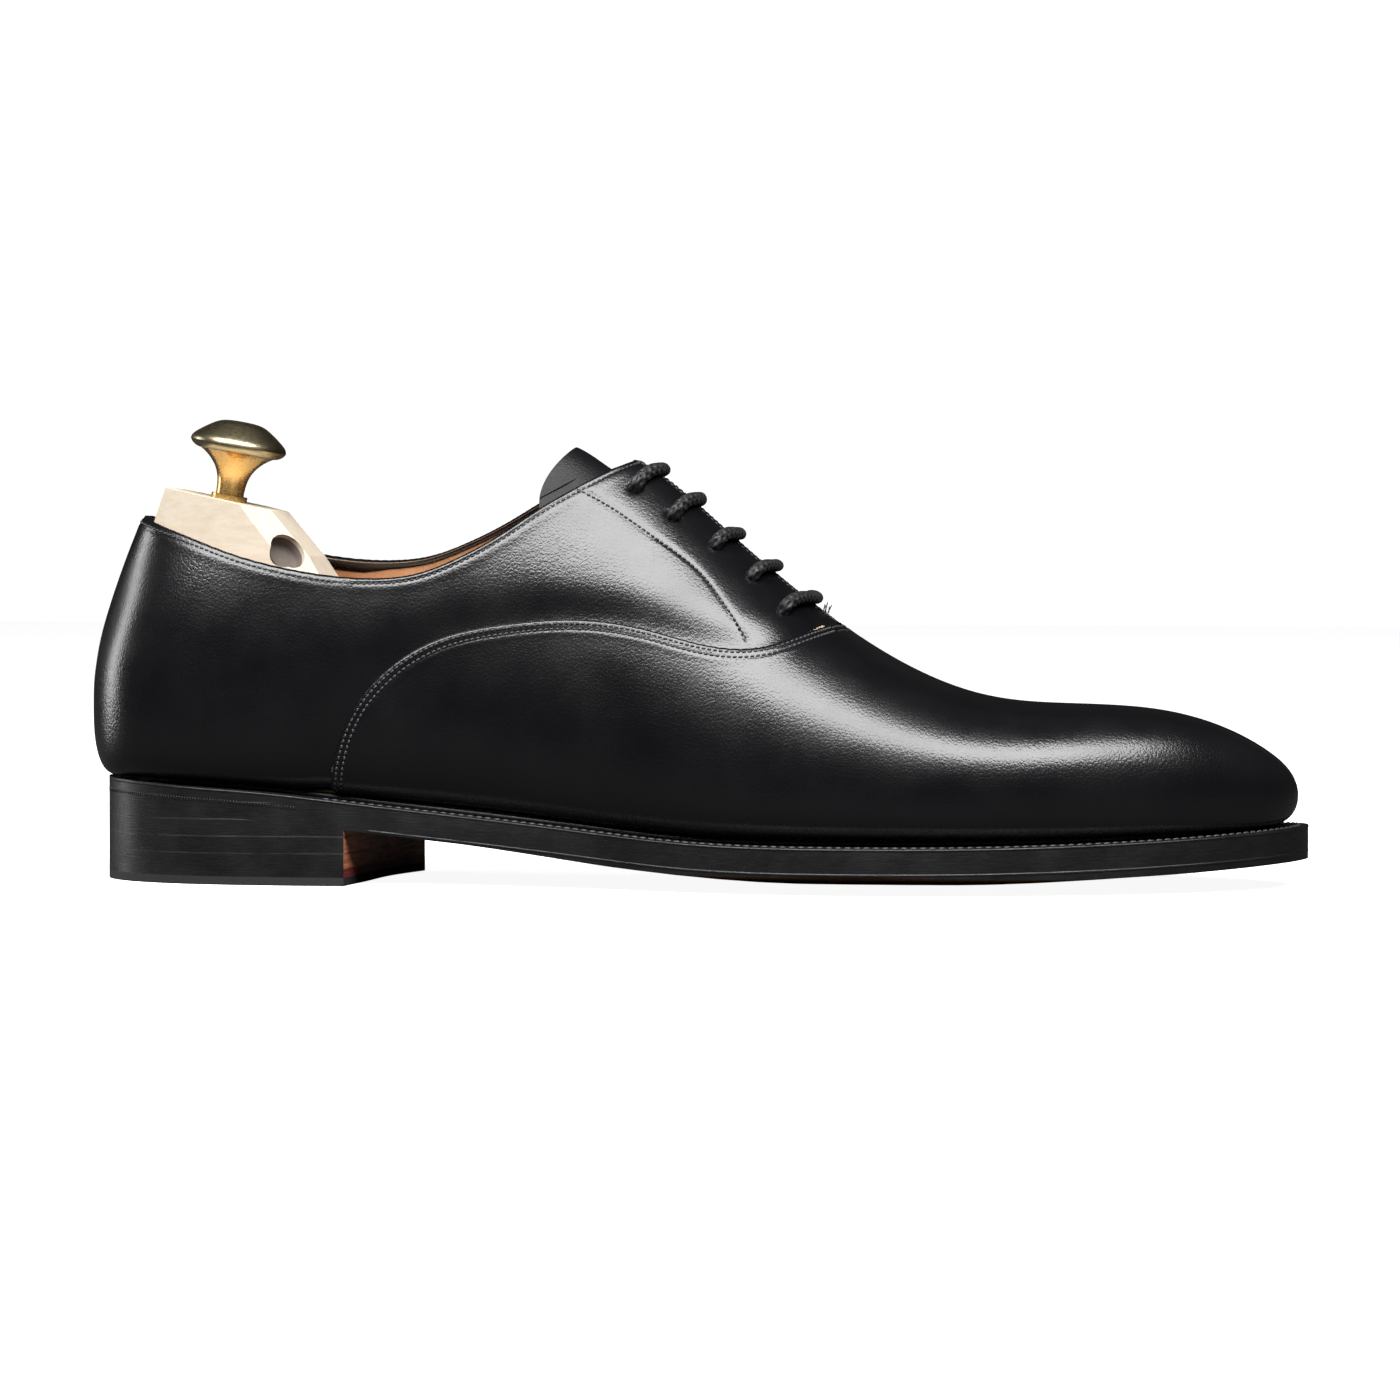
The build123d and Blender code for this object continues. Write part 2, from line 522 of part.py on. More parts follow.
crown_back = Vector(block_back(100), 0, 100)
crown_front = Vector(48.0, 0, 94.2)
nose = Vector(57.7, 0, 82.7)
step_top = Vector(72.0, 0, PIVOT_Z + ARM_R)
arm_top = Vector(PIVOT_X, 0, PIVOT_Z + ARM_R)
arm_low = Vector(PIVOT_X, 0, PIVOT_Z - ARM_R)
block_front = Vector(78.0, 0, BLOCK_LOW)
heel_low = Vector(block_back(BLOCK_LOW), 0, BLOCK_LOW)
back_mid = Vector(block_back(70), 0, 70)
arm_end = Vector(PIVOT_X + ARM_R, 0, PIVOT_Z)
block_edges = [Edge.make_line(crown_back, crown_front), Edge.make_line(crown_front, nose),
               Edge.make_line(nose, step_top), Edge.make_line(step_top, arm_top),
               Edge.make_three_point_arc(arm_top, arm_end, arm_low),
               Edge.make_line(arm_low, block_front), Edge.make_line(block_front, heel_low),
               Edge.make_three_point_arc(heel_low, back_mid, crown_back)]
block = side_prism(block_edges)
block_outline = [(9, 0), (11, 5.6), (16, 9.2), (27, 13.6), (42, BLOCK_HALF), (60, BLOCK_HALF), (76, 13.5),
                 (88, ARM_HALF), (104, ARM_HALF), (152, ARM_HALF)]
block_loop = [Vector(x, -y, 20) for x, y in block_outline[::-1]]
block_loop += [Vector(x, y, 20) for x, y in block_outline[1:]]
block_plan = Face(Wire([Edge.make_spline(block_loop), Edge.make_line(block_loop[-1], block_loop[0])]))
block &= Solid.extrude(block_plan, Vector(0, 0, 90))
face_normal = Vector(crown_front.Z - nose.Z, 0, nose.X - crown_front.X).normalized()
facet_x = 41.0  # where the corner facets meet the block's sides, at the crown
facet_z = 95.6


def facet(side):
    """Plane of the corner facet on one side of the block."""
    across = Vector(0, side * 0.6, 0)
    return Plane(origin=(facet_x, side * BLOCK_HALF, facet_z), z_dir=face_normal * 0.85 + across)


for side in (-1, 1):
    block -= facet(side) * Box(60, 60, 40, align=(Align.CENTER, Align.CENTER, Align.MIN))
bore_mouth = Vector(52.4, -14.5, 83.4)
bore = Plane(origin=bore_mouth, z_dir=facet(-1).z_dir) * Cylinder(BORE_R, 26)
slot_back = PIVOT_X - PLATE_R - 1.0
arm_slot = slab(slot_back, 160, -PLATE_HALF - 0.35, PLATE_HALF + 0.35, 30, 70)
pin = pivot * Cylinder(PIN_R, 2 * ARM_HALF)
tilt = math.radians(KNOB_TILT)
knob_plane = Plane(origin=KNOB_BASE, x_dir=(math.cos(tilt), 0, -math.sin(tilt)),
                   z_dir=(math.sin(tilt), 0, math.cos(tilt)))
stud = knob_plane * Cylinder(STUD_R, 16, align=(Align.CENTER, Align.CENTER, Align.MAX))
parts["tree_pivot_pin"] = pin
parts["tree_knob_stud"] = stud


def turned(edges):
    """Solid of revolution on the knob's axis from edges drawn as (radius, 0, height)."""
    return knob_plane * revolve(Face(Wire(edges)), Axis.Z)


def profile(points):
    """Straight edges through (radius, height) points, closed."""
    loop = [Vector(r, 0, h) for r, h in points + points[:1]]
    return [Edge.make_line(a, b) for a, b in zip(loop, loop[1:])]


collar_r = 4.65
collar_h = 1.5
stem_top = 12.4
rim_h = 14.3
rim_r = 12.4
cap_top = 20.6
parts["tree_knob_collar"] = turned(profile([(0, 0), (collar_r, 0), (collar_r, collar_h), (0, collar_h)]))
parts["tree_heel_block"] = block - bore - arm_slot - pin - stud - parts["tree_knob_collar"]
flare = [Vector(r, 0, h) for r, h in ((3.6, collar_h), (3.7, 4.0), (4.4, 7.0), (6.2, 9.8), (9.6, stem_top))]
parts["tree_knob_stem"] = turned([Edge.make_spline(flare), Edge.make_line(flare[-1], Vector(0, 0, stem_top)),
                                  Edge.make_line(Vector(0, 0, stem_top), Vector(0, 0, collar_h)),
                                  Edge.make_line(Vector(0, 0, collar_h), flare[0])])
under_cap = [Vector(9.9, 0, stem_top), Vector(11.6, 0, 13.2), Vector(rim_r, 0, rim_h)]
over_cap = [Vector(rim_r, 0, rim_h), Vector(11.2, 0, 16.3), Vector(7.4, 0, 19.1), Vector(0, 0, cap_top)]
parts["tree_knob_cap"] = turned([
    Edge.make_line(Vector(0, 0, stem_top), under_cap[0]), Edge.make_spline(under_cap),
    Edge.make_spline(over_cap, tangents=[Vector(-0.1, 0, 1), Vector(-1, 0, 0)]),
    Edge.make_line(over_cap[-1], Vector(0, 0, stem_top))])

# ---- write ----
move = Pos(-ORIGIN_X, -ORIGIN_Y, 0)
everything = []
for name, shape in parts.items():
    placed = move * join(shape)
    everything.append(placed)
    export_step(placed, os.path.join("parts", name + ".step"))
box = Compound(children=everything).bounding_box()
print("box", box.min, box.max, "centre", box.center())
print("nodes", len(parts))
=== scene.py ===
"""Looks of a black leather oxford shoe with a hinged shoe tree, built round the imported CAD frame.

Shapes are worked out in millimetres in the shoe's own working axes (X from the heel's back to the toe,
-Y the outer side, +Z up) and placed in the frame, in metres, by place().
"""

import json
import math

import bmesh
import bpy
import numpy as np
from mathutils import Matrix, Vector
from mathutils.kdtree import KDTree

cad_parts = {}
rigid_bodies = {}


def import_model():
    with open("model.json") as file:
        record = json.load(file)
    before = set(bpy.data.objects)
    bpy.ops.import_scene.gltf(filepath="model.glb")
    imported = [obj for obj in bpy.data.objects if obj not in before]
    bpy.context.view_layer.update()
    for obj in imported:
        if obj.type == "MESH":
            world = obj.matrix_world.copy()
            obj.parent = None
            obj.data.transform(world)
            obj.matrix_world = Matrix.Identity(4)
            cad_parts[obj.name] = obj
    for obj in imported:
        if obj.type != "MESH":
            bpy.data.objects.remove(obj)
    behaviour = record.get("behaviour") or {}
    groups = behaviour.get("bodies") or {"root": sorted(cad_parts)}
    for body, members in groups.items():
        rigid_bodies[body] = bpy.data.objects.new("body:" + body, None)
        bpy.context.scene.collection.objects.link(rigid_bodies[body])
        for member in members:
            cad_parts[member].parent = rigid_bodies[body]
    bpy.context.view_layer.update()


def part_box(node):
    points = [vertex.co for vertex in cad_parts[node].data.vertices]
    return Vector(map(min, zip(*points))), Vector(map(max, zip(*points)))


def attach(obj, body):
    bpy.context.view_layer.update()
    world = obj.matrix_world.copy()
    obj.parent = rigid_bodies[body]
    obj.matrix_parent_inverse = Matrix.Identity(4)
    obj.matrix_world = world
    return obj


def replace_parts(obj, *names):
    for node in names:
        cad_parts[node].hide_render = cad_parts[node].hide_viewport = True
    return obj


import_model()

# ---- sizes, millimetres ----
MM = 0.001
UP = np.array([0.0, 0.0, 1.0])
HEEL_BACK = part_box("back_strip")[0].x  # the upper's rearmost point, working x = 0
PIN_LOW, PIN_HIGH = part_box("tree_pivot_pin")
ORIGIN = np.array([HEEL_BACK / MM, (PIN_LOW.y + PIN_HIGH.y) / 2 / MM, 0.0])
LENGTH = 308.4  # of the upper
RINGS = 14  # control points round a section
RIDGE = 7  # ring parameter of the ridge
SPREAD = 1.02  # widths beside the half-width lines
SHELL_T = 3.0  # leather, backer and lining together
EDGE_T = 7.2  # welt and outsole
LACE_OVER = 1.66  # the lace's middle above the leather
LACE_UNDER = -4.5  # and under it
FACING_GAP = 3.4
BOW = 1.4  # of the vamp's edge across the throat

TOP_LINE = [(0, 47), (1.3, 59), (4.4, 69.5), (9, 82), (13.6, 93), (20, 104), (32, 113), (55, 119),
            (85, 120.5), (112, 117.5), (130, 112.5), (144, 105.5), (165, 88), (186, 70.6),
            (204, 58.3), (227.5, 48.2), (250, 45.8), (271.5, 44.6), (286.4, 41.2), (300.5, 34.3),
            (305.6, 30), (308.4, 23)]
BOTTOM_LINE = [(0, 47), (0.6, 38.5), (2.4, 32), (5, 27.9), (12, 26.3), (30, 25), (50, 23.6),
               (75, 20.8), (100, 18.1), (130, 15), (155, 12.8), (175, 12.1), (200, 12), (225, 12.1),
               (250, 12.6), (275, 13.6), (295, 14.8), (303, 16), (306.5, 18), (308.4, 23)]
SEAT_LINE = [(-10, 26.9), (12, 25.9), (30, 24.8), (50, 23.5), (75, 20.8), (100, 18.1), (130, 15),
             (155, 12.8), (175, 12.1), (200, 12), (225, 12.1), (250, 12.6), (275, 13.6),
             (295, 14.7), (325, 16.6)]
LATERAL_LINE = [(0, 0), (1, 8.2), (4, 16), (9, 22.6), (16, 27.6), (28, 31.6), (45, 33.6), (65, 33.4),
                (90, 32.2), (115, 33.2), (135, 37), (155, 42.3), (175, 46.6), (195, 48.2),
                (215, 47), (235, 44), (255, 39), (272, 33.2), (286, 26.8), (296, 20.4),
                (303, 13.8), (308.4, 0)]
MEDIAL_LINE = [(0, 0), (1, 8.2), (4, 16), (9, 22.8), (16, 28), (28, 32), (45, 33.4), (65, 31.4),
               (90, 28.6), (115, 29.6), (135, 34.6), (155, 41), (175, 46.2), (195, 48.6),
               (215, 47.9), (235, 44.4), (255, 38.8), (272, 33), (286, 26.8), (296, 20.6),
               (303, 14), (308.4, 0)]
CENTRE_LINE = [(0, 0), (100, 0), (200, 0.5), (260, 2.5), (308.4, 5)]
WIDEST_LINE = [(0, 47), (20, 46), (50, 45), (80, 43), (110, 39), (140, 33), (170, 28), (200, 25.5),
               (240, 24.5), (275, 23.5), (308.4, 23)]
FEATHER_LINE = [(0, 0.88), (60, 0.88), (100, 0.82), (150, 0.88), (200, 0.93), (308.4, 0.9)]
SHOULDER_OUT = [(0, 0.97), (60, 0.96), (140, 0.93), (200, 0.97), (308.4, 0.97)]
SHOULDER_UP = [(0, 0.3), (60, 0.3), (140, 0.33), (200, 0.4), (308.4, 0.45)]
CREST_OUT = [(0, 0.72), (60, 0.72), (140, 0.56), (200, 0.66), (308.4, 0.7)]
CREST_UP = [(0, 0.62), (60, 0.62), (140, 0.76), (200, 0.88), (308.4, 0.9)]
RIDGE_OUT = [(0, 0.4), (60, 0.38), (140, 0.22), (200, 0.3), (308.4, 0.38)]

VAMP_SEAM = [(66.8, 24.2), (67.5, 28.6), (70, 38), (74, 46), (79.2, 52.2), (86.6, 58.2), (94.7, 62.3),
             (110.9, 65.9), (128.4, 67.2), (146.8, 64.9), (162.8, 61), (176.9, 61), (186.6, 64.4),
             (190.8, 65.9)]
TOPLINE_LATERAL = [(13.6, 93), (28.3, 88), (42.5, 83), (57, 79.5), (69.8, 77.7), (77.4, 77.4),
                   (87.4, 78.5), (98, 82.6), (108.4, 88.5), (118.4, 95.4), (129.2, 101.8),
                   (135.6, 105.3), (140.5, 107.6)]
TOPLINE_MEDIAL = [(13.6, 93), (27, 89.3), (40, 86), (52.6, 83.6), (65.4, 82), (73, 81.8),
                  (83, 82.8), (93.6, 86.4), (104, 91.4), (114, 97.2), (125, 102.8), (132, 105.4),
                  (140.5, 107.6)]
FACING_SEAM = [(127, 99.9), (135.8, 95.4), (142.5, 91.1), (149.2, 86.6), (155.8, 82), (161.2, 77.1),
               (165.1, 72.2), (169.1, 66.9), (172.1, 62.4)]
EYELETS = [(180.3, 69.9), (171.9, 78.1), (162.2, 85.9), (151.6, 93.1), (141.7, 100.3)]
RIDGE_AT = [186.1, 175.6, 166.1, 156.3, 147.1]
SOLE_OUTLINE = [(4, 0), (6.2, -11), (12, -19.5), (25, -27.5), (45, -31.5), (62, -32), (78, -31.2),
                (96, -31), (115, -32.6), (135, -37), (155, -43.5), (175, -48.5), (195, -50.5),
                (215, -49.4), (235, -45.8), (255, -40), (275, -32), (290, -23.6), (302, -13),
                (309, -2), (311, 6), (309.5, 14), (302, 22.5), (290, 30), (275, 36.6), (258, 42),
                (240, 46.9), (220, 50.8), (203, 52), (185, 50), (165, 44.2), (145, 36),
                (125, 29.2), (105, 26.6), (85, 28), (68, 30.6), (48, 31.6), (27, 27.8),
                (12, 19.5), (6.2, 11)]


# ---- curves ----
def station(x):
    return np.arccos(np.clip(1 - 2 * np.asarray(x, float) / LENGTH, -1, 1)) / np.pi


def at_station(u):
    return LENGTH * (1 - np.cos(np.pi * np.asarray(u, float))) / 2


def plain(x):
    return np.asarray(x, float)


def curve(points, where=station):
    """Natural cubic spline through (x, value) points, smooth in where(x)."""
    t = where([p[0] for p in points])
    v = np.array([p[1:] for p in points], float)
    n = len(t)
    h = np.diff(t)
    system = np.eye(n)
    right = np.zeros_like(v)
    for i in range(1, n - 1):
        system[i, i - 1:i + 2] = h[i - 1], 2 * (h[i - 1] + h[i]), h[i]
        right[i] = 6 * ((v[i + 1] - v[i]) / h[i] - (v[i] - v[i - 1]) / h[i - 1])
    m = np.linalg.solve(system, right)

    def value(x):
        s = where(x)
        i = np.clip(np.searchsorted(t, s) - 1, 0, n - 2)
        a = (t[i + 1] - s)[..., None]
        b = (s - t[i])[..., None]
        g = h[i][..., None]
        out = (m[i] * a ** 3 + m[i + 1] * b ** 3) / (6 * g)
        out += (v[i] / g - m[i] * g / 6) * a + (v[i + 1] / g - m[i + 1] * g / 6) * b
        return out[..., 0] if out.shape[-1] == 1 else out

    return value


top = curve(TOP_LINE)
bottom = curve(BOTTOM_LINE)
lateral = curve(LATERAL_LINE)
medial = curve(MEDIAL_LINE)
centre = curve(CENTRE_LINE)
widest = curve(WIDEST_LINE)
feather = curve(FEATHER_LINE)
shoulder_out = curve(SHOULDER_OUT)
shoulder_up = curve(SHOULDER_UP)
crest_out = curve(CREST_OUT)
crest_up = curve(CREST_UP)
ridge_out = curve(RIDGE_OUT)
seat = curve(SEAT_LINE, plain)


def smooth(low, high, x):
    t = np.clip((np.asarray(x, float) - low) / (high - low), 0, 1)
    return t * t * (3 - 2 * t)


def lengths(points):
    """Distance along a polyline at each of its points."""
    return np.concatenate([[0], np.cumsum(np.linalg.norm(np.diff(points, axis=0), axis=1))])


def at_places(points, run, places):
    """Points at distances along a polyline whose own points lie at the distances in run."""
    return np.stack([np.interp(places, run, points[:, k]) for k in range(points.shape[1])], 1)


def unit(v):
    return v / np.maximum(np.linalg.norm(v, axis=-1, keepdims=True), 1e-9)


def path_through(points, step=None, count=None, closed=False):
    """Evenly spaced points of a smooth curve through the given ones."""
    p = np.array(points, float)
    if closed:
        n = len(p)
        p = np.vstack([p[-4:], p, p[:4]])
    t = lengths(p)
    line = curve([(a, *b) for a, b in zip(t, p)], plain)
    start, end = (t[4], t[4 + n]) if closed else (0, t[-1])
    fine = line(np.linspace(start, end, 4000))
    run = lengths(fine)
    number = count or max(2, int(round(run[-1] / step)) + 1)
    places = np.linspace(0, run[-1], number, endpoint=not closed)
    return at_places(fine, run, places)


# ---- the last's surface ----
def ring(x):
    """Control points (y, z) of the sections at x, from the bottom round the lateral side."""
    x = np.asarray(x, float)
    low, high, wide, mid = bottom(x), top(x), widest(x), centre(x)
    sides = []
    for sign, line in ((-1, lateral), (1, medial)):
        w = line(x) * SPREAD
        foot = w * feather(x)
        half = [(0.55 * foot, low), (foot, low + 0.02 * (wide - low)), (w, low + 0.5 * (wide - low)),
                (w * shoulder_out(x), wide + shoulder_up(x) * (high - wide)),
                (w * crest_out(x), wide + crest_up(x) * (high - wide)), (w * ridge_out(x), high)]
        sides.append([(mid + sign * y, z) for y, z in half])
    points = [(mid, low)] + sides[0] + [(mid, high)] + sides[1][::-1]
    return np.array([[np.broadcast_to(v, x.shape) for v in p] for p in points])


def skin(x, s):
    """Points of the surface: x along the shoe, s round the section (0 bottom, 7 ridge)."""
    x, s = np.broadcast_arrays(np.asarray(x, float), np.asarray(s, float))
    shape = x.shape
    x, s = x.ravel(), s.ravel()
    points = ring(x)
    i = np.floor(s).astype(int)
    f = s - i
    weights = ((1 - f) ** 3, 3 * f ** 3 - 6 * f ** 2 + 4, -3 * f ** 3 + 3 * f ** 2 + 3 * f + 1, f ** 3)
    here = np.arange(len(x))
    yz = sum(w * points[(i + k - 1) % RINGS, :, here].T for k, w in enumerate(weights)) / 6
    return np.stack([x, yz[0], yz[1]], -1).reshape(shape + (3,))


def normal(x, s):
    """Outward directions of the surface."""
    u = np.clip(station(x), 0.006, 0.994)
    step = 2e-4
    along = skin(at_station(u + step), s) - skin(at_station(u - step), s)
    there = at_station(u)
    around = skin(there, np.asarray(s) + 2e-3) - skin(there, np.asarray(s) - 2e-3)
    return unit(np.cross(along, around))


def find(x, side, axis, value):
    """Ring parameter where the section at x has the given height (axis 2) or y (axis 1)."""
    x, value = np.broadcast_arrays(np.asarray(x, float), np.asarray(value, float))
    low = np.full(x.shape, 1.2 if side < 0 else RINGS - 1.2)
    high = np.full(x.shape, float(RIDGE))
    for _ in range(23):
        mid = (low + high) / 2
        p = skin(x, mid)
        if axis == 2:
            above = p[..., 2] > value
        else:
            above = np.abs(p[..., 1] - centre(x)) < np.abs(value - centre(x))
        low = np.where(above, low, mid)
        high = np.where(above, mid, high)
    return (low + high) / 2


def on_side(x, z, side, height=0.0):
    s = find(x, side, 2, z)
    return skin(x, s) + normal(x, s) * np.asarray(height)[..., None]


def on_top(x, y, height=0.0):
    s = find(x, -1 if y < centre(x) else 1, 1, y)
    return skin(x, s) + normal(x, s) * height


SPINE = 35.0  # the back of the heel is measured round an upright axis this far forward
ROUND = 45.0  # stretch of the girth coordinate that the round of the heel takes


def girth(g, z, side):
    """Surface point and outward direction at girth coordinate g (0 the heel's back) and height z."""
    g, z = np.broadcast_arrays(np.asarray(g, float), np.asarray(z, float))
    turn = np.clip(g / ROUND, 0, 1) * np.pi / 2
    start = SPINE + np.maximum(g - ROUND, 0)
    away = np.stack([-np.cos(turn), side * np.sin(turn)], -1)
    low = np.zeros(g.shape)
    high = np.full(g.shape, 70.0)
    for _ in range(23):
        mid = (low + high) / 2
        x = start + away[..., 0] * mid
        y = away[..., 1] * mid
        ok = (x > 0.0005) & (z > bottom(np.maximum(x, 0.0005))) & (z < top(np.maximum(x, 0.0005)))
        safe = np.where(ok, x, SPINE)
        s = find(safe, side, 2, np.where(ok, z, 50.0))
        inside = ok & (np.abs(skin(safe, s)[..., 1]) > np.abs(y))
        low = np.where(inside, mid, low)
        high = np.where(inside, high, mid)
    x = np.maximum(start + away[..., 0] * low, 0.001)
    s = find(x, side, 2, z)
    return x, s


def place(points):
    return (np.asarray(points, float) + ORIGIN) * MM


# ---- meshes ----
def mesh_object(name, points, faces, material, body="shoe"):
    mesh = bpy.data.meshes.new(name)
    mesh.from_pydata(place(points).tolist(), [], [list(map(int, f)) for f in faces])
    mesh.update()
    mesh.polygons.foreach_set("use_smooth", [True] * len(mesh.polygons))
    piece = bpy.data.objects.new(name, mesh)
    bpy.context.scene.collection.objects.link(piece)
    mesh.materials.append(material)
    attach(piece, body)
    return piece


def grid_faces(rows, columns, wrap=False):
    a = np.arange(rows - 1)[:, None] * columns
    last = columns if wrap else columns - 1
    b = np.arange(last)[None, :]
    c = (b + 1) % columns
    return np.stack([a + b, a + c, a + columns + c, a + columns + b], -1).reshape(-1, 4)


def clean(piece, distance=0.00002):
    """Welds points that meet and turns faces outward."""
    bm = bmesh.new()
    bm.from_mesh(piece.data)
    bmesh.ops.remove_doubles(bm, verts=bm.verts, dist=distance)
    bmesh.ops.dissolve_degenerate(bm, edges=bm.edges, dist=1e-7)
    bmesh.ops.recalc_face_normals(bm, faces=bm.faces)
    bm.to_mesh(piece.data)
    bm.free()
    return piece


class Nearest:
    """Distance to a line of points."""

    def __init__(self, *lines):
        points = np.vstack([path_through(line, step=0.25) for line in lines])
        self.tree = KDTree(len(points))
        for i, p in enumerate(points):
            self.tree.insert(p, i)
        self.tree.balance()

    def __call__(self, points):
        return np.array([self.tree.find(p)[2] for p in points.reshape(-1, 3)]).reshape(points.shape[:-1])


def row_shares(length, near, fine_rows, coarse_rows, both=False):
    """Shares of a column's length, close together within near millimetres of its start."""
    near = np.minimum(near, length * (0.33 if both else 0.5))
    a = near[:, None] * np.linspace(0, 1, fine_rows + 1)[None, :]
    end = length - near if both else length
    b = near[:, None] + (end - near)[:, None] * np.linspace(0, 1, coarse_rows + 1)[None, 1:]
    runs = [a, b]
    if both:
        runs.append(end[:, None] + near[:, None] * np.linspace(0, 1, fine_rows + 1)[None, 1:])
    return np.concatenate(runs, 1) / np.maximum(length, 1e-6)[:, None]


# ---- materials ----
INK = ((0.0028, 0.0028, 0.0034), (0.010, 0.010, 0.0115))  # waxed black edges, dark and light
LIFT_T = 4.3  # between the lines drawn on the heel's stack, millimetres


class Layers:
    """A material made of procedural layers in the object's own coordinates."""

    def __init__(self, name):
        self.material = bpy.data.materials.new(name)
        self.material.use_nodes = True
        self.nodes = self.material.node_tree.nodes
        self.shader = self.nodes["Principled BSDF"]
        self.where = self.nodes.new("ShaderNodeTexCoord").outputs["Object"]

    def feed(self, socket, value):
        """Gives a socket a number, a colour or another node's output."""
        if isinstance(value, bpy.types.NodeSocket):
            self.material.node_tree.links.new(value, socket)
        else:
            socket.default_value = (*value, 1) if isinstance(value, tuple) else value

    def put(self, name, value):
        self.feed(self.shader.inputs[name], value)

    def noise(self, scale, detail=4.0, rough=0.55, stretch=None):
        """A noise texture's value; scale is in features per metre."""
        texture = self.nodes.new("ShaderNodeTexNoise")
        for name, value in (("Scale", scale), ("Detail", detail), ("Roughness", rough)):
            texture.inputs[name].default_value = value
        where = self.where
        if stretch:
            mapping = self.nodes.new("ShaderNodeMapping")
            mapping.inputs["Scale"].default_value = stretch
            self.feed(mapping.inputs["Vector"], where)
            where = mapping.outputs["Vector"]
        self.feed(texture.inputs["Vector"], where)
        return texture.outputs["Fac"]

    def cells(self, scale, feature="DISTANCE_TO_EDGE"):
        texture = self.nodes.new("ShaderNodeTexVoronoi")
        texture.feature = feature
        texture.inputs["Scale"].default_value = scale
        self.feed(texture.inputs["Vector"], self.where)
        return texture.outputs["Distance"]

    def ramp(self, value, low, high, out_low=0, out_high=1):
        """The value taken from low..high to out_low..out_high, clamped."""
        node = self.nodes.new("ShaderNodeMapRange")
        names = ("Value", "From Min", "From Max", "To Min", "To Max")
        for name, item in zip(names, (value, low, high, out_low, out_high)):
            self.feed(node.inputs[name], item)
        return node.outputs["Result"]

    def mix(self, value, a, b):
        """Colour a where value is 0, b where it is 1."""
        node = self.nodes.new("ShaderNodeMix")
        node.data_type = "RGBA"
        for index, item in ((0, value), (6, a), (7, b)):
            self.feed(node.inputs[index], item)
        return node.outputs[2]

    def maths(self, operation, *values):
        node = self.nodes.new("ShaderNodeMath")
        node.operation = operation
        for socket, value in zip(node.inputs, values):
            self.feed(socket, value)
        return node.outputs[0]

    def part(self, vector, axis):
        """One axis of a vector output."""
        node = self.nodes.new("ShaderNodeSeparateXYZ")
        self.feed(node.inputs[0], vector)
        return node.outputs[axis]

    def bump(self, *layers):
        """Chains bump layers (value, strength, distance in mm) into the shader's normals."""
        chain = None
        for value, strength, distance in layers:
            node = self.nodes.new("ShaderNodeBump")
            node.inputs["Strength"].default_value = strength
            node.inputs["Distance"].default_value = distance * MM
            self.feed(node.inputs["Height"], value)
            if chain is not None:
                self.feed(node.inputs["Normal"], chain)
            chain = node.outputs["Normal"]
        self.put("Normal", chain)
        self.put("Coat Normal", chain)


def calf(name, rough, coat, grain, specular):
    """Polished black calf: fine pebbled grain, faint stretch lines and a soft waxed sheen."""
    m = Layers(name)
    m.put("Base Color", m.mix(m.noise(22, 3), (0.0022, 0.0022, 0.0028), (0.0045, 0.0045, 0.0056)))
    m.put("Roughness", m.ramp(m.noise(60, 5), 0.3, 0.7, rough - 0.05, rough + 0.06))
    m.put("Specular IOR Level", specular)
    m.put("Coat Weight", coat)
    m.put("Coat Roughness", 0.14)
    m.put("Sheen Weight", 0.01)
    folds = m.noise(240, 3, 0.55, (1.0, 1.0, 2.3))
    pebbles = m.ramp(m.cells(950), 0.0, 0.25)
    m.bump((folds, 0.16 * grain, 0.12), (pebbles, 0.30 * grain, 0.06),
           (m.cells(1700, "F1"), 0.22 * grain, 0.05), (m.noise(1500, 1.5, 0.6), 0.22 * grain, 0.05))
    return m.material


def fibres_and_ink(m):
    """Fibres along the layers of a leather edge, and the colour of the ink over them."""
    fibres = m.noise(700, 6, 0.7, (0.35, 0.35, 4.0))
    return fibres, m.mix(m.ramp(fibres, 0.35, 0.75), *INK)


def edge_leather():
    """Inked and waxed leather edges: fine fibres along the layers, scuffs and a low gloss."""
    m = Layers("edge_black")
    fibres, ink = fibres_and_ink(m)
    m.put("Base Color", ink)
    m.put("Roughness", m.ramp(m.noise(90, 4), 0.3, 0.7, 0.34, 0.55))
    m.put("Coat Weight", 0.18)
    m.put("Coat Roughness", 0.3)
    m.bump((fibres, 0.5, 0.16), (m.noise(3200, 3), 0.28, 0.06))
    return m.material


def raw_leather(name, light, dark, rough=0.62, fibre=1.0):
    """Undyed vegetable-tanned leather: mottled, with fibres."""
    m = Layers(name)
    mottle = m.noise(120, 6, 0.6)
    fibres = m.noise(1300, 4, 0.7)
    blend = m.maths("ADD", m.maths("MULTIPLY", mottle, 0.65), m.maths("MULTIPLY", fibres, 0.35))
    m.put("Base Color", m.mix(m.ramp(blend, 0.33, 0.68), dark, light))
    m.put("Roughness", m.ramp(mottle, 0.3, 0.7, rough - 0.08, rough + 0.1))
    m.bump((fibres, 0.35 * fibre, 0.12), (m.noise(4200, 2), 0.2 * fibre, 0.05))
    return m.material


def thread(name):
    """Waxed polyester thread."""
    m = Layers(name)
    twist = m.noise(5200, 2, 0.5)
    m.put("Base Color", m.mix(twist, (0.018, 0.018, 0.018), (0.054, 0.054, 0.06)))
    m.put("Roughness", 0.42)
    m.put("Sheen Weight", 0.15)
    m.bump((twist, 0.5, 0.06))
    return m.material


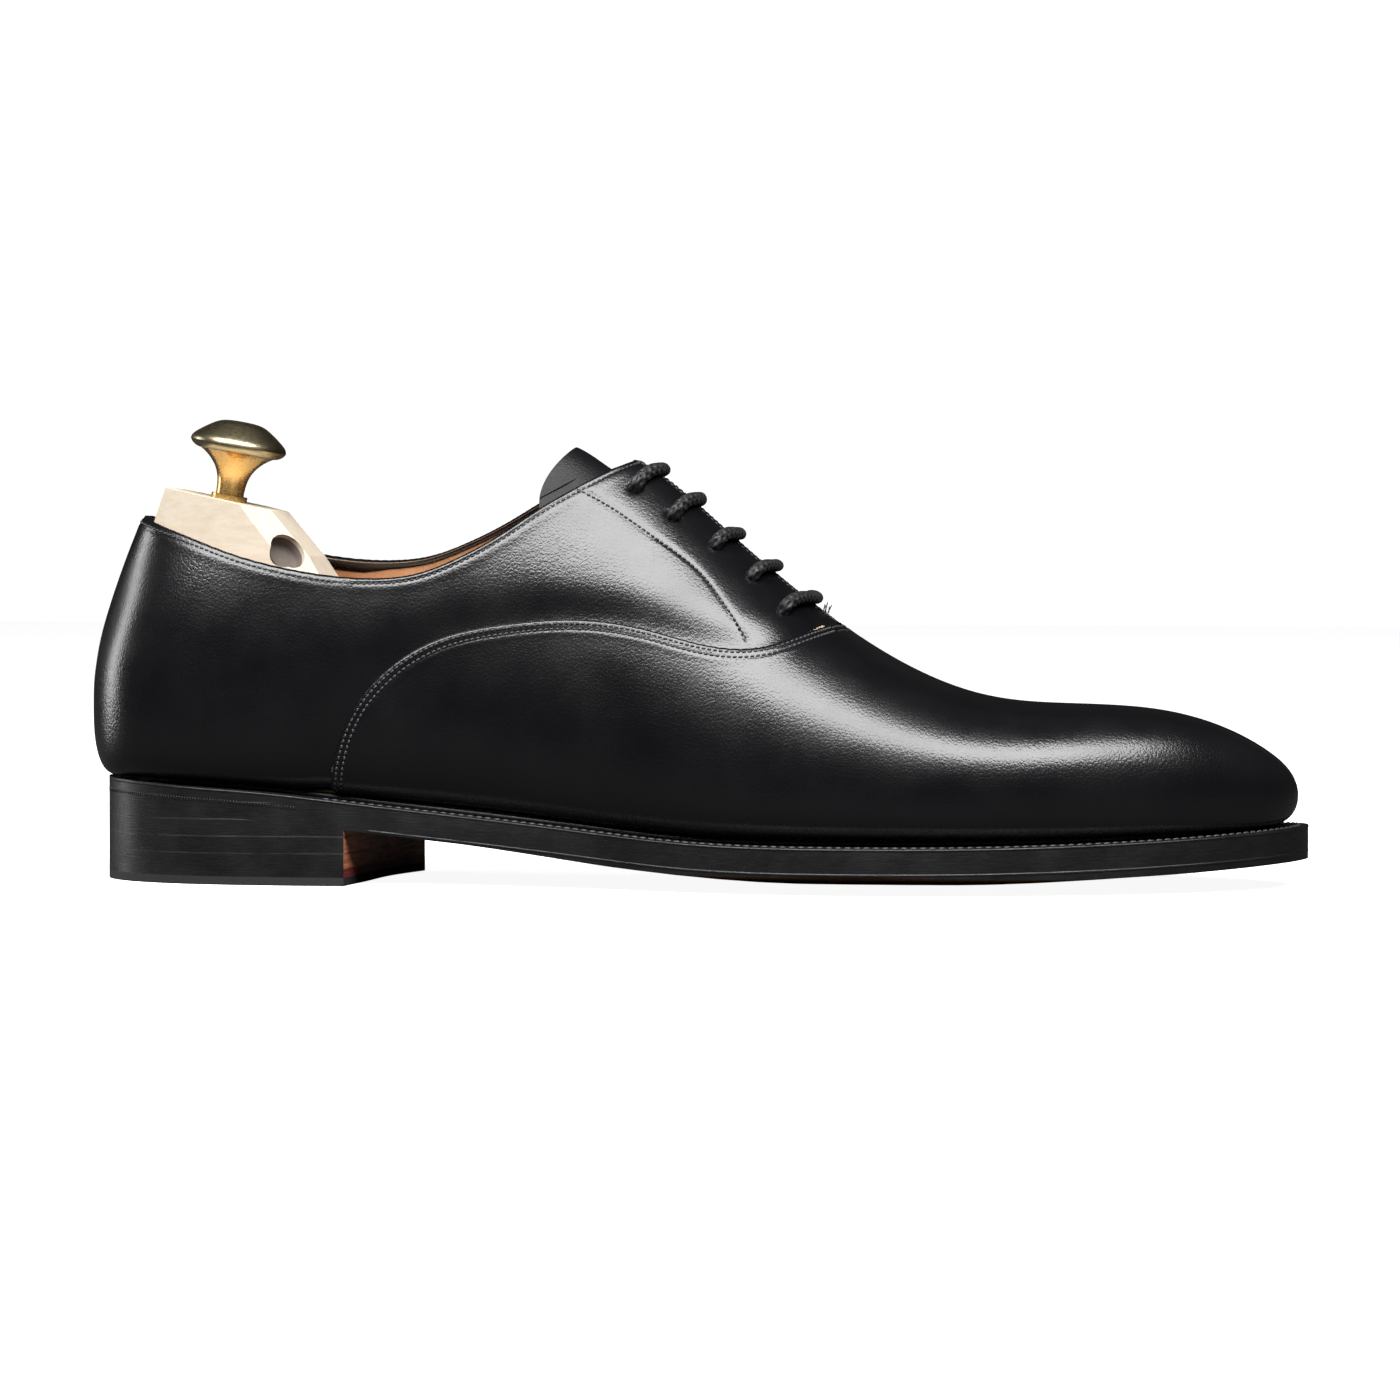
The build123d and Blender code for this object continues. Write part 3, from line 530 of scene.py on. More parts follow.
def lace_material():
    """Waxed cotton braid; the plaits are in the mesh, the fibres here."""
    m = Layers("lace_black")
    fibres = m.noise(6500, 3, 0.6)
    m.put("Base Color", m.mix(m.ramp(fibres, 0.35, 0.7), (0.0035, 0.0035, 0.0042), (0.016, 0.016, 0.018)))
    m.put("Roughness", m.ramp(m.noise(900, 3), 0.35, 0.65, 0.38, 0.62))
    m.put("Sheen Weight", 0.08)
    m.put("Sheen Roughness", 0.4)
    m.bump((fibres, 0.55, 0.08))
    return m.material


def wood():
    """Pale sanded lime wood with faint grain lines."""
    m = Layers("lime_wood")
    grain = m.noise(160, 6, 0.6, (0.18, 3.2, 3.2))
    rays = m.noise(1500, 3, 0.6, (0.08, 1.0, 1.0))
    ground = m.mix(m.ramp(grain, 0.35, 0.7), (0.78, 0.69, 0.56), (0.68, 0.57, 0.44))
    m.put("Base Color", m.mix(m.ramp(rays, 0.5, 0.75, 0, 0.35), ground, (0.58, 0.46, 0.33)))
    m.put("Roughness", m.ramp(grain, 0.3, 0.7, 0.42, 0.58))
    m.put("Coat Weight", 0.08)
    m.put("Coat Roughness", 0.4)
    m.bump((rays, 0.18, 0.06), (grain, 0.1, 0.1))
    return m.material


def brass(name, colour, rough, turned=0.0):
    """Satin brass; turned is how strongly the lathe's rings show."""
    m = Layers(name)
    stained = tuple(c * 0.8 for c in colour)
    m.put("Base Color", m.mix(m.ramp(m.noise(120, 5), 0.35, 0.7), colour, stained))
    m.put("Metallic", 1.0)
    brushed = m.noise(900, 4, 0.7, (1.0, 1.0, 6.0))
    m.put("Roughness", m.ramp(brushed, 0.3, 0.7, rough - 0.05, rough + 0.08))
    m.bump((brushed, 0.05 + 0.25 * turned, 0.03))
    return m.material


def plain_metal():
    m = Layers("zinc_steel")
    stains = m.noise(300, 4)
    m.put("Base Color", m.mix(stains, (0.5, 0.5, 0.52), (0.66, 0.66, 0.67)))
    m.put("Metallic", 1.0)
    m.put("Roughness", m.ramp(stains, 0.3, 0.7, 0.28, 0.42))
    return m.material


def rubber():
    m = Layers("heel_rubber")
    speck = m.noise(2400, 3)
    m.put("Base Color", m.mix(speck, (0.012, 0.012, 0.013), (0.028, 0.028, 0.03)))
    m.put("Roughness", 0.7)
    m.bump((speck, 0.3, 0.08))
    return m.material


def cork():
    m = Layers("cork_grains")
    grains = m.cells(500, "F1")
    m.put("Base Color", m.mix(m.ramp(grains, 0, 0.6), (0.30, 0.18, 0.09), (0.52, 0.35, 0.2)))
    m.put("Roughness", 0.85)
    m.bump((grains, 0.5, 0.3))
    return m.material


def faced(name, axis, sign, light, dark, lines=False):
    """Black edge ink outside, undyed leather where the surface faces along an axis."""
    m = Layers(name)
    normals = m.nodes.new("ShaderNodeTexCoord").outputs["Normal"]
    mask = m.ramp(m.maths("MULTIPLY", m.part(normals, axis), sign), 0.45, 0.6)
    fibres, ink = fibres_and_ink(m)
    grain = m.noise(420, 7, 0.72, (0.6, 0.22, 3.6))
    raw = m.mix(m.ramp(grain, 0.36, 0.66), dark, light)
    if lines:
        wander = m.maths("MULTIPLY", m.noise(30, 2), 0.0011)
        level = m.maths("DIVIDE", m.maths("ADD", m.part(m.where, 2), wander), LIFT_T * MM)
        near = m.maths("ABSOLUTE", m.maths("SUBTRACT", m.maths("FRACT", level), 0.5))
        worn = m.ramp(m.noise(55, 4), 0.42, 0.62)
        gap = m.maths("MULTIPLY", m.ramp(near, 0.44, 0.5), worn)
        ink = m.mix(gap, ink, (0.06, 0.06, 0.064))
        raw = m.mix(gap, raw, (0.07, 0.022, 0.014))
    m.put("Base Color", m.mix(mask, ink, raw))
    m.put("Roughness", m.ramp(m.noise(90, 4), 0.3, 0.7, 0.34, 0.52))
    m.put("Coat Weight", 0.15)
    m.put("Coat Roughness", 0.3)
    m.bump((fibres, 0.45, 0.16), (m.noise(3200, 3), 0.25, 0.06))
    return m.material


CALF = calf("calf_black", 0.27, 0.3, 1.0, 0.5)
CALF_MATT = calf("calf_matt", 0.42, 0.02, 1.4, 0.2)
EDGE = edge_leather()
LINING = raw_leather("lining_tan", (0.62, 0.33, 0.17), (0.44, 0.2, 0.09), 0.5, 0.6)
HEEL = faced("heel_stack", 0, 1, (0.78, 0.30, 0.16), (0.34, 0.10, 0.05), lines=True)
HEEL_LOWEST = faced("heel_burgundy", 0, 1, (0.32, 0.06, 0.06), (0.14, 0.02, 0.025))
OUTSOLE = faced("outsole_leather", 2, -1, (0.42, 0.21, 0.11), (0.28, 0.12, 0.06))
BOARD = raw_leather("board_brown", (0.5, 0.36, 0.22), (0.34, 0.23, 0.14), 0.75)
THREAD = thread("thread_black")
LACE = lace_material()
WOOD = wood()
BRASS_CAP = brass("brass_cap", (0.50, 0.43, 0.27), 0.30)
BRASS_STEM = brass("brass_stem", (0.80, 0.52, 0.20), 0.24, 1.0)
STEEL = plain_metal()
RUBBER = rubber()
CORK = cork()
NAILS = brass("nail_brass", (0.75, 0.58, 0.30), 0.3)
AGLET = thread("aglet_film")
# dark brown-grey of the cup in the tree's finger hole: painted shade for the inside of the hole, not a real
# lining
BORE_SHADE = raw_leather("bore_painted_shade", (0.16, 0.13, 0.11), (0.09, 0.072, 0.06), 0.8)


# ---- the upper ----
def seam_point(side, x, z):
    return skin(x, find(x, side, 2, z))


def downward(x, s, side):
    """Directions along the surface, square to a line on it, to the side of the shoe's bottom."""
    along = unit(np.gradient(skin(x, s), axis=0))
    return np.cross(along, normal(x, s)) * (1 if side < 0 else -1)


def shift(path, side, across):
    """A side-view path moved across the surface, to the side of the shoe's bottom where positive."""
    x, z = path[:, 0], path[:, 1]
    s = find(x, side, 2, z)
    q = skin(x, s) + downward(x, s, side) * across
    return np.stack([q[:, 0], q[:, 2]], 1)


def topline_of(side):
    return TOPLINE_LATERAL if side < 0 else TOPLINE_MEDIAL


def lacing_ring(x, side):
    return find(x, side, 1, centre(x) + side * FACING_GAP / 2)


HEEL_LOW = 26.9  # where the upper's back meets the seat
SEAM_FOOT = 68.8  # where the vamp seam reaches the bottom
EDGE_RING = 0.8  # ring parameter of the upper's lower edge


def quarter_bottom(side):
    """Lower boundary of a quarter as (girth or x, ring): back of the heel, feather edge, under the vamp."""
    seam = shift(path_through(VAMP_SEAM, step=0.7), side, 3.0)
    seam = seam[seam[:, 0] > SEAM_FOOT]
    xs = np.linspace(SPINE, SEAM_FOOT, 40)
    ring_low = np.full(len(xs), EDGE_RING if side < 0 else RINGS - EDGE_RING)
    s = find(seam[:, 0], side, 2, np.maximum(seam[:, 1], bottom(seam[:, 0]) + 0.4))
    return np.concatenate([xs, seam[:, 0]]), np.concatenate([ring_low, s])


def quarter_top(side):
    """Upper boundary from the waist of the collar: topline, rounded corner, lacing edge."""
    line = path_through(topline_of(side), step=0.5)
    line = line[line[:, 0] > SPINE]
    x1 = line[:, 0]
    s1 = find(x1, side, 2, line[:, 1])
    x2 = np.linspace(145.5, VAMP_SEAM[-1][0] + 0.8, 90)
    s2 = lacing_ring(x2, side)
    t = np.linspace(0, 1, 14)[1:-1]
    corner = (143.2, s2[0] * 0.7 + s1[-1] * 0.3)
    xc = (1 - t) ** 2 * x1[-1] + 2 * t * (1 - t) * corner[0] + t ** 2 * x2[0]
    sc = (1 - t) ** 2 * s1[-1] + 2 * t * (1 - t) * corner[1] + t ** 2 * s2[0]
    return np.concatenate([x1, xc, x2]), np.concatenate([s1, sc, s2])


def resample(x, s, run, places):
    return np.interp(places, run, x), np.interp(places, run, s)


def quarter_grid(side, fine=16, coarse=96):
    """(x, s) of a quarter's points, rows from the top edge down, columns from the heel's back forward."""
    xb, sb = quarter_bottom(side)
    xt, st = quarter_top(side)
    run_b = lengths(skin(xb, sb))
    run_t = lengths(skin(xt, st))
    keys_b = np.interp([SEAM_FOOT, 70.8, 134, 167], xb, run_b)
    keys_t = np.interp([66.0, 74.0, 130, 154], xt, run_t)
    count = int(run_b[-1] / 0.75)
    places_b = np.linspace(0, run_b[-1], count)
    places_t = np.interp(places_b, [0, *keys_b, run_b[-1]], [0, *keys_t, run_t[-1]])
    xb, sb = resample(xb, sb, run_b, places_b)
    xt, st = resample(xt, st, run_t, places_t)
    length = np.linalg.norm(skin(xt, st) - skin(xb, sb), axis=1)
    share = row_shares(np.maximum(length, 0.5), 8.0, fine, coarse, both=True).T
    x = xt + (xb - xt) * share
    s = st + (sb - st) * share

    # round the heel, with rows spaced as in the first column
    z_first = skin(x[:, 0], s[:, 0])[:, 2]
    form = (z_first - z_first[-1]) / (z_first[0] - z_first[-1])
    g = np.linspace(0, ROUND, 62)[:-1]
    line = curve(topline_of(side), plain)
    z_top = np.full(g.shape, 90.0)
    for _ in range(5):
        gx, _ = girth(g, z_top, side)
        z_top = line(np.maximum(gx, 13.6))
    z_low = HEEL_LOW + (z_first[-1] - HEEL_LOW) * smooth(0, ROUND, g)
    z = z_low + (z_top - z_low) * form[:, None]
    hx, hs = girth(np.broadcast_to(g, z.shape), z, side)
    return np.concatenate([hx, x], 1), np.concatenate([hs, s], 1)


def edge_round(distance, radius):
    """Drop of a rounded edge at a distance inside it."""
    inside = np.clip(radius - distance, 0, radius)
    return radius - np.sqrt(radius ** 2 - inside ** 2)


def dent(distance, depth, width):
    return -depth * np.exp(-(distance / width) ** 2)


def outline_of(side):
    """The quarter's free edge as points: topline, corner and lacing edge."""
    x, s = quarter_top(side)
    back = path_through(topline_of(side), step=0.5)
    back = back[back[:, 0] <= SPINE + 1]
    return np.vstack([on_side(back[:, 0], back[:, 1], side), skin(x, s)])


def hole_points(side):
    return [on_side(np.array(x), np.array(z), side) for x, z in EYELETS]


def sheet_mesh(name, x, s, height, material, wall=()):
    """A sheet over the surface at the given heights, with an optional wall down from its first row."""
    flat = skin(x, s)
    out = normal(x, s)
    points = flat + out * height[..., None]
    for drop, inset in wall:
        row = flat[0] + out[0] * drop + (flat[1] - flat[0]) * inset
        points = np.concatenate([row[None], points], 0)
    rows, columns = points.shape[:2]
    faces = grid_faces(rows, columns)
    a, b, c = (points.reshape(-1, 3)[faces[:, k]] for k in (0, 1, 2))
    facing = np.cross(b - a, c - a)
    reference = np.concatenate([np.repeat(out[:1], rows - len(out), 0), out], 0).reshape(-1, 3)
    if np.median(np.sum(facing * reference[faces[:, 0]], 1)) < 0:
        faces = faces[:, ::-1]
    return mesh_object(name, points.reshape(-1, 3), faces, material)


STITCH_1 = 1.05  # rows of stitches from the vamp's edge
STITCH_2 = 2.45
TOP_STITCH = 1.55  # from the topline and the lacing edge
# (height, share of the first row's spacing inward) of the collar's rolled edge
COLLAR_WALL = [(-1.5, -0.1), (-2.3, -0.15), (-2.95, 0.0), (-3.12, 0.5), (-3.16, 3.4), (-2.8, 3.6)]


def build_quarter(side, name):
    x, s = quarter_grid(side)
    flat = skin(x, s)
    rim = Nearest(outline_of(side))
    seam_line = path_through(VAMP_SEAM, step=0.5)
    seam = Nearest(seam_point(side, seam_line[:, 0], seam_line[:, 1]))
    facing_line = path_through(FACING_SEAM, step=0.5)
    facing = Nearest(seam_point(side, facing_line[:, 0], facing_line[:, 1]))
    d_rim, d_seam, d_facing = rim(flat), seam(flat), facing(flat)
    height = -edge_round(d_rim, 0.9)
    height += dent(d_rim - TOP_STITCH, 0.16, 0.32) + 0.07 * np.exp(-((d_rim - 3.0) / 1.2) ** 2)
    fade = smooth(1.0, 4.0, np.minimum(d_rim, 9))
    height += dent(d_facing, 0.22, 0.42) * fade
    ahead = flat[..., 0] > np.interp(flat[..., 2], facing_line[::-1, 1], facing_line[::-1, 0])
    height += 0.12 * smooth(0.2, 2.0, d_facing) * ahead * np.exp(-(d_facing / 9) ** 2)
    height -= 1.12 * np.exp(-(d_seam / 6.5) ** 2) * (flat[..., 0] > 55)
    for hole in hole_points(side):
        d = np.linalg.norm(flat - hole, axis=-1)
        height -= 1.9 * np.exp(-(d / 1.25) ** 2) + 0.12 * np.exp(-(d / 3.2) ** 2)
    piece = sheet_mesh(name, x, s, height, CALF, COLLAR_WALL)
    lining = sheet_mesh(name + "_lining", x[::2, ::2], s[::2, ::2],
                        np.full(x[::2, ::2].shape, -SHELL_T - 0.02), LINING)
    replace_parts(lining, "quarter_lining_lateral" if side < 0 else "quarter_lining_medial", "quarter_backers")
    return piece


def vamp_grid(side, fine=26, coarse=78):
    """(x, s) of half the vamp, rows from the seam (then the ridge) down to the feather edge."""
    seam = path_through(VAMP_SEAM, step=0.55)
    xs = seam[:, 0]
    ss = find(xs, side, 2, np.maximum(seam[:, 1], bottom(xs) + 0.35))
    ss[0] = EDGE_RING
    t = np.linspace(0, 1, 16)[1:]
    xc = xs[-1] + BOW * np.sin(t * np.pi / 2)
    sc = ss[-1] + (RIDGE - ss[-1]) * t
    u = np.linspace(station(xc[-1]), 1.0, 150)[1:]
    xr = at_station(u)
    x_top = np.concatenate([xs, xc, xr])
    s_top = np.concatenate([ss, sc, np.full(len(xr), float(RIDGE))])
    z_top = skin(x_top, s_top)[:, 2]
    lean = 0.55 * np.maximum(z_top[:len(xs)] - bottom(xs) - 0.5, 0)
    crossing = xs[-1] + lean[-1]
    rest = crossing + (LENGTH - crossing) * (x_top[len(xs):] - xs[-1]) / (LENGTH - xs[-1])
    x_low = np.concatenate([xs + lean, rest])
    s_low = np.full(len(x_low), EDGE_RING)
    if side > 0:
        s_low = RINGS - s_low
        s_low[0] = ss[0] = s_top[0] = RINGS - EDGE_RING
    length = np.linalg.norm(skin(x_top, s_top) - skin(x_low, s_low), axis=1)
    share = row_shares(np.maximum(length, 0.05), 8.0, fine, coarse).T
    return x_top + (x_low - x_top) * share, s_top + (s_low - s_top) * share, len(xs) + len(xc)


def build_vamp():
    halves = []
    line = path_through(VAMP_SEAM, step=0.5)
    edges = [seam_point(side, line[:, 0], line[:, 1]) for side in (-1, 1)]
    end_x = line[-1, 0]
    s_a = float(find(end_x, -1, 2, line[-1, 1]))
    s_b = float(find(end_x, 1, 2, line[-1, 1]))
    t = np.linspace(0, 1, 40)
    bow = end_x + BOW * np.sin(t * np.pi)
    edges.append(skin(bow, s_a + (s_b - s_a) * t))
    edge = Nearest(*edges)
    for side, name in ((-1, "vamp_lateral_half"), (1, "vamp_medial_half")):
        x, s, seam_columns = vamp_grid(side)
        flat = skin(x, s)
        d = edge(flat)
        height = -edge_round(d, 0.5) + 0.06 * np.exp(-((d - 0.5) / 0.4) ** 2)
        height += dent(d - STITCH_1, 0.17, 0.26) + dent(d - STITCH_2, 0.17, 0.26)
        height += 0.10 * np.exp(-((d - 1.75) / 0.4) ** 2) + 0.05 * np.exp(-((d - 3.4) / 0.8) ** 2)
        halves.append(sheet_mesh(name, x, s, height, CALF))
        walls = skin(x[:1, :seam_columns], s[:1, :seam_columns])
        outs = normal(x[:1, :seam_columns], s[:1, :seam_columns])
        start = height[0, :seam_columns]
        rows = [walls[0] + outs[0] * h[:, None] for h in
                (start, np.minimum(start, -0.75), np.full(seam_columns, -1.0), np.full(seam_columns, -1.35))]
        wall = np.stack(rows)
        halves.append(mesh_object(name + "_edge", wall.reshape(-1, 3), grid_faces(4, seam_columns), CALF))
    bpy.ops.object.select_all(action="DESELECT")
    for piece in halves:
        piece.select_set(True)
    bpy.context.view_layer.objects.active = halves[0]
    bpy.ops.object.join()
    vamp = halves[0]
    vamp.name = "vamp_leather"
    return clean(vamp)


# ---- stitches ----
def capsule(rows=5, around=7):
    """A unit stitch: rounded rod along its first axis."""
    t = np.linspace(-1, 1, rows + 2)
    radius = np.sqrt(np.clip(1 - np.abs(t) ** 3.2, 0, 1))
    radius[0] = radius[-1] = 0.12
    a = np.linspace(0, 2 * np.pi, around, endpoint=False)
    points = np.array([[x, r * math.cos(b), r * math.sin(b) - 0.12 * x * x]
                       for x, r in zip(t, radius) for b in a])
    return points, grid_faces(rows + 2, around, wrap=True)


CAPSULE, CAPSULE_FACES = capsule()


def capsules(name, at, axes, half_sizes, material):
    """Copies of the unit stitch at points, along three axes each."""
    verts = at[:, None]
    for k, (axis, size) in enumerate(zip(axes, half_sizes)):
        verts = verts + axis[:, None] * CAPSULE[None, :, k:k + 1] * size
    faces = (CAPSULE_FACES[None] + (np.arange(len(at)) * len(CAPSULE))[:, None, None]).reshape(-1, 4)
    return mesh_object(name, verts.reshape(-1, 3), faces, material)


def stitch_run(name, points, outs, pitch=1.45, width=0.2, sink=0.02, fill=0.78, slant=0.12):
    """A row of thread stitches along points on the surface."""
    run = lengths(points)
    count = int(run[-1] / pitch)
    places = (np.arange(count) + 0.5) * pitch
    out = unit(at_places(outs, run, places))
    ahead = at_places(points, run, places + 0.3) - at_places(points, run, places - 0.3)
    ahead = unit(ahead - out * np.sum(ahead * out, 1, keepdims=True))
    over = np.cross(out, ahead)
    cos, sin = math.cos(slant), math.sin(slant)
    axes = (ahead * cos + over * sin, over * cos - ahead * sin, out)
    return capsules(name, at_places(points, run, places) - out * sink, axes,
                    (pitch * fill / 2, width, width * 0.9), THREAD)


def stitched_side_line(name, line, side, across, width):
    """Stitches along a side-view line moved across the surface."""
    path = path_through(line, step=0.4)
    if across:
        path = shift(path, side, across)
    x, z = path[:, 0], path[:, 1]
    s = find(x, side, 2, z)
    return stitch_run(name, skin(x, s), normal(x, s), width=width)


# ---- upper ----
vamp = build_vamp()
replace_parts(vamp, "vamp")
for side, name in ((-1, "quarter_lateral"), (1, "quarter_medial")):
    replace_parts(build_quarter(side, "leather_" + name), name)

for side, word in ((-1, "lateral"), (1, "medial")):
    for row, across in ((1, STITCH_1), (2, STITCH_2)):
        stitched_side_line(f"vamp_stitches_{word}_{row}", VAMP_SEAM, side, across, 0.3)
    stitched_side_line(f"facing_stitches_{word}", FACING_SEAM, side, 0.0, 0.28)
    x, s = quarter_top(side)
    back = path_through(topline_of(side), step=0.5)
    back = back[back[:, 0] <= SPINE]
    xs = np.concatenate([back[:, 0], x])
    ss = np.concatenate([find(back[:, 0], side, 2, back[:, 1]), s])
    n = normal(xs, ss)
    row = skin(xs, ss) + downward(xs, ss, side) * TOP_STITCH - n * 0.03
    keep = lengths(row) < lengths(row)[-1] - 4
    stitch_run(f"edge_stitches_{word}", row[keep], n[keep], pitch=1.5, width=0.28)

# across the throat, and the bar tack that holds the facings together, with its threads' loose ends
TACK_X = (188.3, 188.9, 189.5, 190.1, 190.7)
THREAD_ENDS = ((0.5, -0.3, 2.6), (0.9, 0.2, 3.2), (-0.1, 0.3, 2.2), (1.3, -0.2, 2.4), (0.2, -0.7, 2.0))
end_x, end_z = VAMP_SEAM[-1]
ring_a, ring_b = float(find(end_x, -1, 2, end_z)), float(find(end_x, 1, 2, end_z))
t = np.linspace(0, 1, 40)
for row, across in ((1, STITCH_1), (2, STITCH_2)):
    x = end_x + across + BOW * np.sin(t * np.pi)
    s = ring_a + (ring_b - ring_a) * t
    stitch_run(f"throat_stitches_{row}", skin(x, s) - normal(x, s) * 0.1, normal(x, s), width=0.24)
for i, x in enumerate(TACK_X):
    s = RIDGE + np.linspace(-0.16, 0.16, 12)
    p, n = skin(x, s), normal(x, s)
    stitch_run(f"tack_{i}", p + n * 0.1, n, pitch=lengths(p)[-1] * 0.98, width=0.33, fill=1.0, slant=0.05)
root = skin(TACK_X[1], float(RIDGE))
for i, tip in enumerate(THREAD_ENDS):
    foot = root + np.array([0.35 * i - 0.7, 0.15 * (-1) ** i, 0])
    line = foot + np.linspace(0, 1, 8)[:, None] * np.array(tip)
    side_out = np.tile([0.0, -1.0, 0.0], (8, 1))
    stitch_run(f"tack_end_{i}", line, side_out, pitch=lengths(line)[-1] * 0.99, width=0.16, fill=1.0, slant=0)


# ---- lace ----
AWAY = (-0.63, -0.78)  # direction along a row of eyelets, in the side view
TAIL_LATERAL = [(145.5, 85.5), (158, 73), (181, 55), (203, 43), (226, 35.5)]
TAIL_MEDIAL = [(133.5, 92), (147, 78), (168, 61), (192, 46.5), (215, 38)]
AGLET_L = 20.0
PLAITS = 5  # strands that cross on the braid, each way
PLAIT_PITCH = 2.6


def at_side(x, z, side, height):
    return on_side(np.array([x]), np.array([z]), side, np.array([height]))[0]


def under(hole, side, away=0.0):
    x, z = EYELETS[hole]
    return [at_side(x + AWAY[0] * away, z + AWAY[1] * away, side, LACE_UNDER)]


def bar(hole, side):
    """Points of a bar that starts over the given side's hole and crosses the ridge."""
    x, z = EYELETS[hole]
    start = at_side(x, z, side, 0.0)
    points = [at_side(x, z, side, -1.6)]
    for share in (1.0, 0.86, 0.62, 0.25, -0.25, -0.62, -0.86, -1.0):
        place_x = RIDGE_AT[hole] + (x - RIDGE_AT[hole]) * abs(share) ** 1.4
        if abs(share) == 1.0:
            points.append(at_side(x, z, side * share, 1.25))
        else:
            y = float(centre(place_x)) + (start[1] - float(centre(place_x))) * share
            points.append(on_top(place_x, y, LACE_OVER + 0.1))
    return points + [at_side(x, z, -side, -1.6)]


def tail(side, places):
    return [at_side(x, z, side, LACE_UNDER) for x, z in places]


route = tail(-1, TAIL_LATERAL)[::-1] + under(3, -1) + bar(3, -1) + under(3, 1)
route += under(2, 1, -3.3) + under(1, 1) + bar(1, 1) + under(1, -1) + under(0, -1) + bar(0, -1)
route += under(0, 1) + under(1, 1, 3.4) + under(2, 1) + bar(2, 1) + under(2, -1) + under(3, -1, -3.3)
route += under(4, -1) + bar(4, -1) + under(4, 1) + tail(1, TAIL_MEDIAL)
for end, before in ((0, 1), (-1, -2)):
    direction = route[before] - route[end]
    route[end] = route[end] + direction / np.linalg.norm(direction) * AGLET_L

line = bpy.data.curves.new("lace_line", "CURVE")
line.dimensions = "3D"
spline = line.splines.new("NURBS")
spline.points.add(len(route) - 1)
for point, p in zip(spline.points, route):
    point.co = (*place(p), 1)
spline.order_u = 3
spline.use_endpoint_u = True
spline.resolution_u = 24
holder = bpy.data.objects.new("lace_line", line)
sampled = bpy.data.meshes.new_from_object(holder)
lace_points = np.array([v.co for v in sampled.vertices]) / MM - ORIGIN
bpy.data.objects.remove(holder)


def tube(name, points, step, around, half_width, half_height, material, plait=0.0):
    """A cord along a polyline, its surface raised by plait times a braid's pattern."""
    run = lengths(points)
    count = int(run[-1] / step)
    places = np.linspace(0, run[-1], count)
    p = at_places(points, run, places)
    along = unit(np.gradient(p, axis=0))
    frames = [unit(np.cross(UP, along[0]))]
    for i in range(1, count):
        frames.append(unit(frames[-1] - along[i] * np.dot(frames[-1], along[i])))
    over = np.array(frames)
    lift = np.cross(along, over)
    a = np.linspace(0, 2 * np.pi, around, endpoint=False)
    turn = places[:, None] / PLAIT_PITCH * 2 * np.pi
    first = np.sin(PLAITS * a[None] + turn)
    second = np.sin(PLAITS * a[None] - turn)
    grow = 1 + plait * (np.maximum(first, second) - 0.55)
    verts = (p[:, None] + over[:, None] * (np.cos(a)[None] * grow * half_width)[..., None]
             + lift[:, None] * (np.sin(a)[None] * grow * half_height)[..., None])
    body = grid_faces(count, around, wrap=True)
    caps = [list(range(around))[::-1], list(range((count - 1) * around, count * around))]
    return mesh_object(name, verts.reshape(-1, 3), list(body) + caps, material)


lace = tube("lace_braid", lace_points, 0.16, 30, 1.62, 1.42, LACE, plait=0.2)
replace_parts(clean(lace, 1e-7), "lace")


# ---- sole unit ----
outline = path_through(SOLE_OUTLINE, step=0.7, closed=True)


def around_sole(inset, drop, x0=-5, x1=330):
    """Points and outward directions along the sole's outline, at a depth under the seat."""
    loop = np.vstack([outline, outline[:1]])
    d = unit(np.gradient(loop, axis=0))
    out = np.stack([d[:, 1], -d[:, 0]], 1)
    middle = loop.mean(0)
    if np.mean(np.sum((loop - middle) * out, 1)) < 0:
        out = -out
    xy = loop - out * inset
    z = seat(loop[:, 0]) - drop
    keep = (loop[:, 0] >= x0) & (loop[:, 0] <= x1)
    points = np.column_stack([xy, z])
    outs = np.column_stack([out, np.zeros(len(out))])
    return points, outs, keep


def split_runs(points, outs, keep):
    runs, here = [], []
    for i, k in enumerate(keep):
        if k:
            here.append(i)
        elif here:
            runs.append(here)
            here = []
    if here:
        runs.append(here)
    return [(points[r], outs[r]) for r in runs if len(r) > 4]


def bead(name, inset, drop, radius, x0=-5):
    for i, (p, _) in enumerate(split_runs(*around_sole(inset, drop, x0))):
        tube(f"{name}_{i}", p, 0.8, 12, radius, radius, EDGE)


bead("welt_lip", 0.42, 0.62, 0.52)
bead("sole_lip", 0.52, EDGE_T - 0.5, 0.62, x0=76)
middle = LENGTH / 2
inseam_x = middle + (outline[:, 0] - middle) * 0.947
inseam_y = centre(inseam_x) + (outline[:, 1] - centre(outline[:, 0])) * 0.805
inseam = np.column_stack([inseam_x, inseam_y, seat(inseam_x) + 0.5])
tube("inseam_cord", np.vstack([inseam, inseam[:2]]), 0.7, 12, 0.9, 0.75, EDGE, plait=0.08)
for i, (points, _) in enumerate(split_runs(*around_sole(2.3, 0.28, 64))):
    stitch_run(f"welt_stitches_{i}", points, np.tile(UP, (len(points), 1)), pitch=2.3, width=0.42,
               fill=0.8, slant=0.1, sink=-0.06)
for i, (points, outs) in enumerate(split_runs(*around_sole(0.02, 3.3, -5, 60))):
    run = lengths(points)
    places = np.arange(1, run[-1] - 1, 0.78)
    n = at_places(outs, run, places)
    axes = (np.tile(UP, (len(n), 1)), np.cross(UP, n), n)
    capsules(f"wheel_marks_{i}", at_places(points, run, places), axes, (0.55, 0.2, 0.12), EDGE)
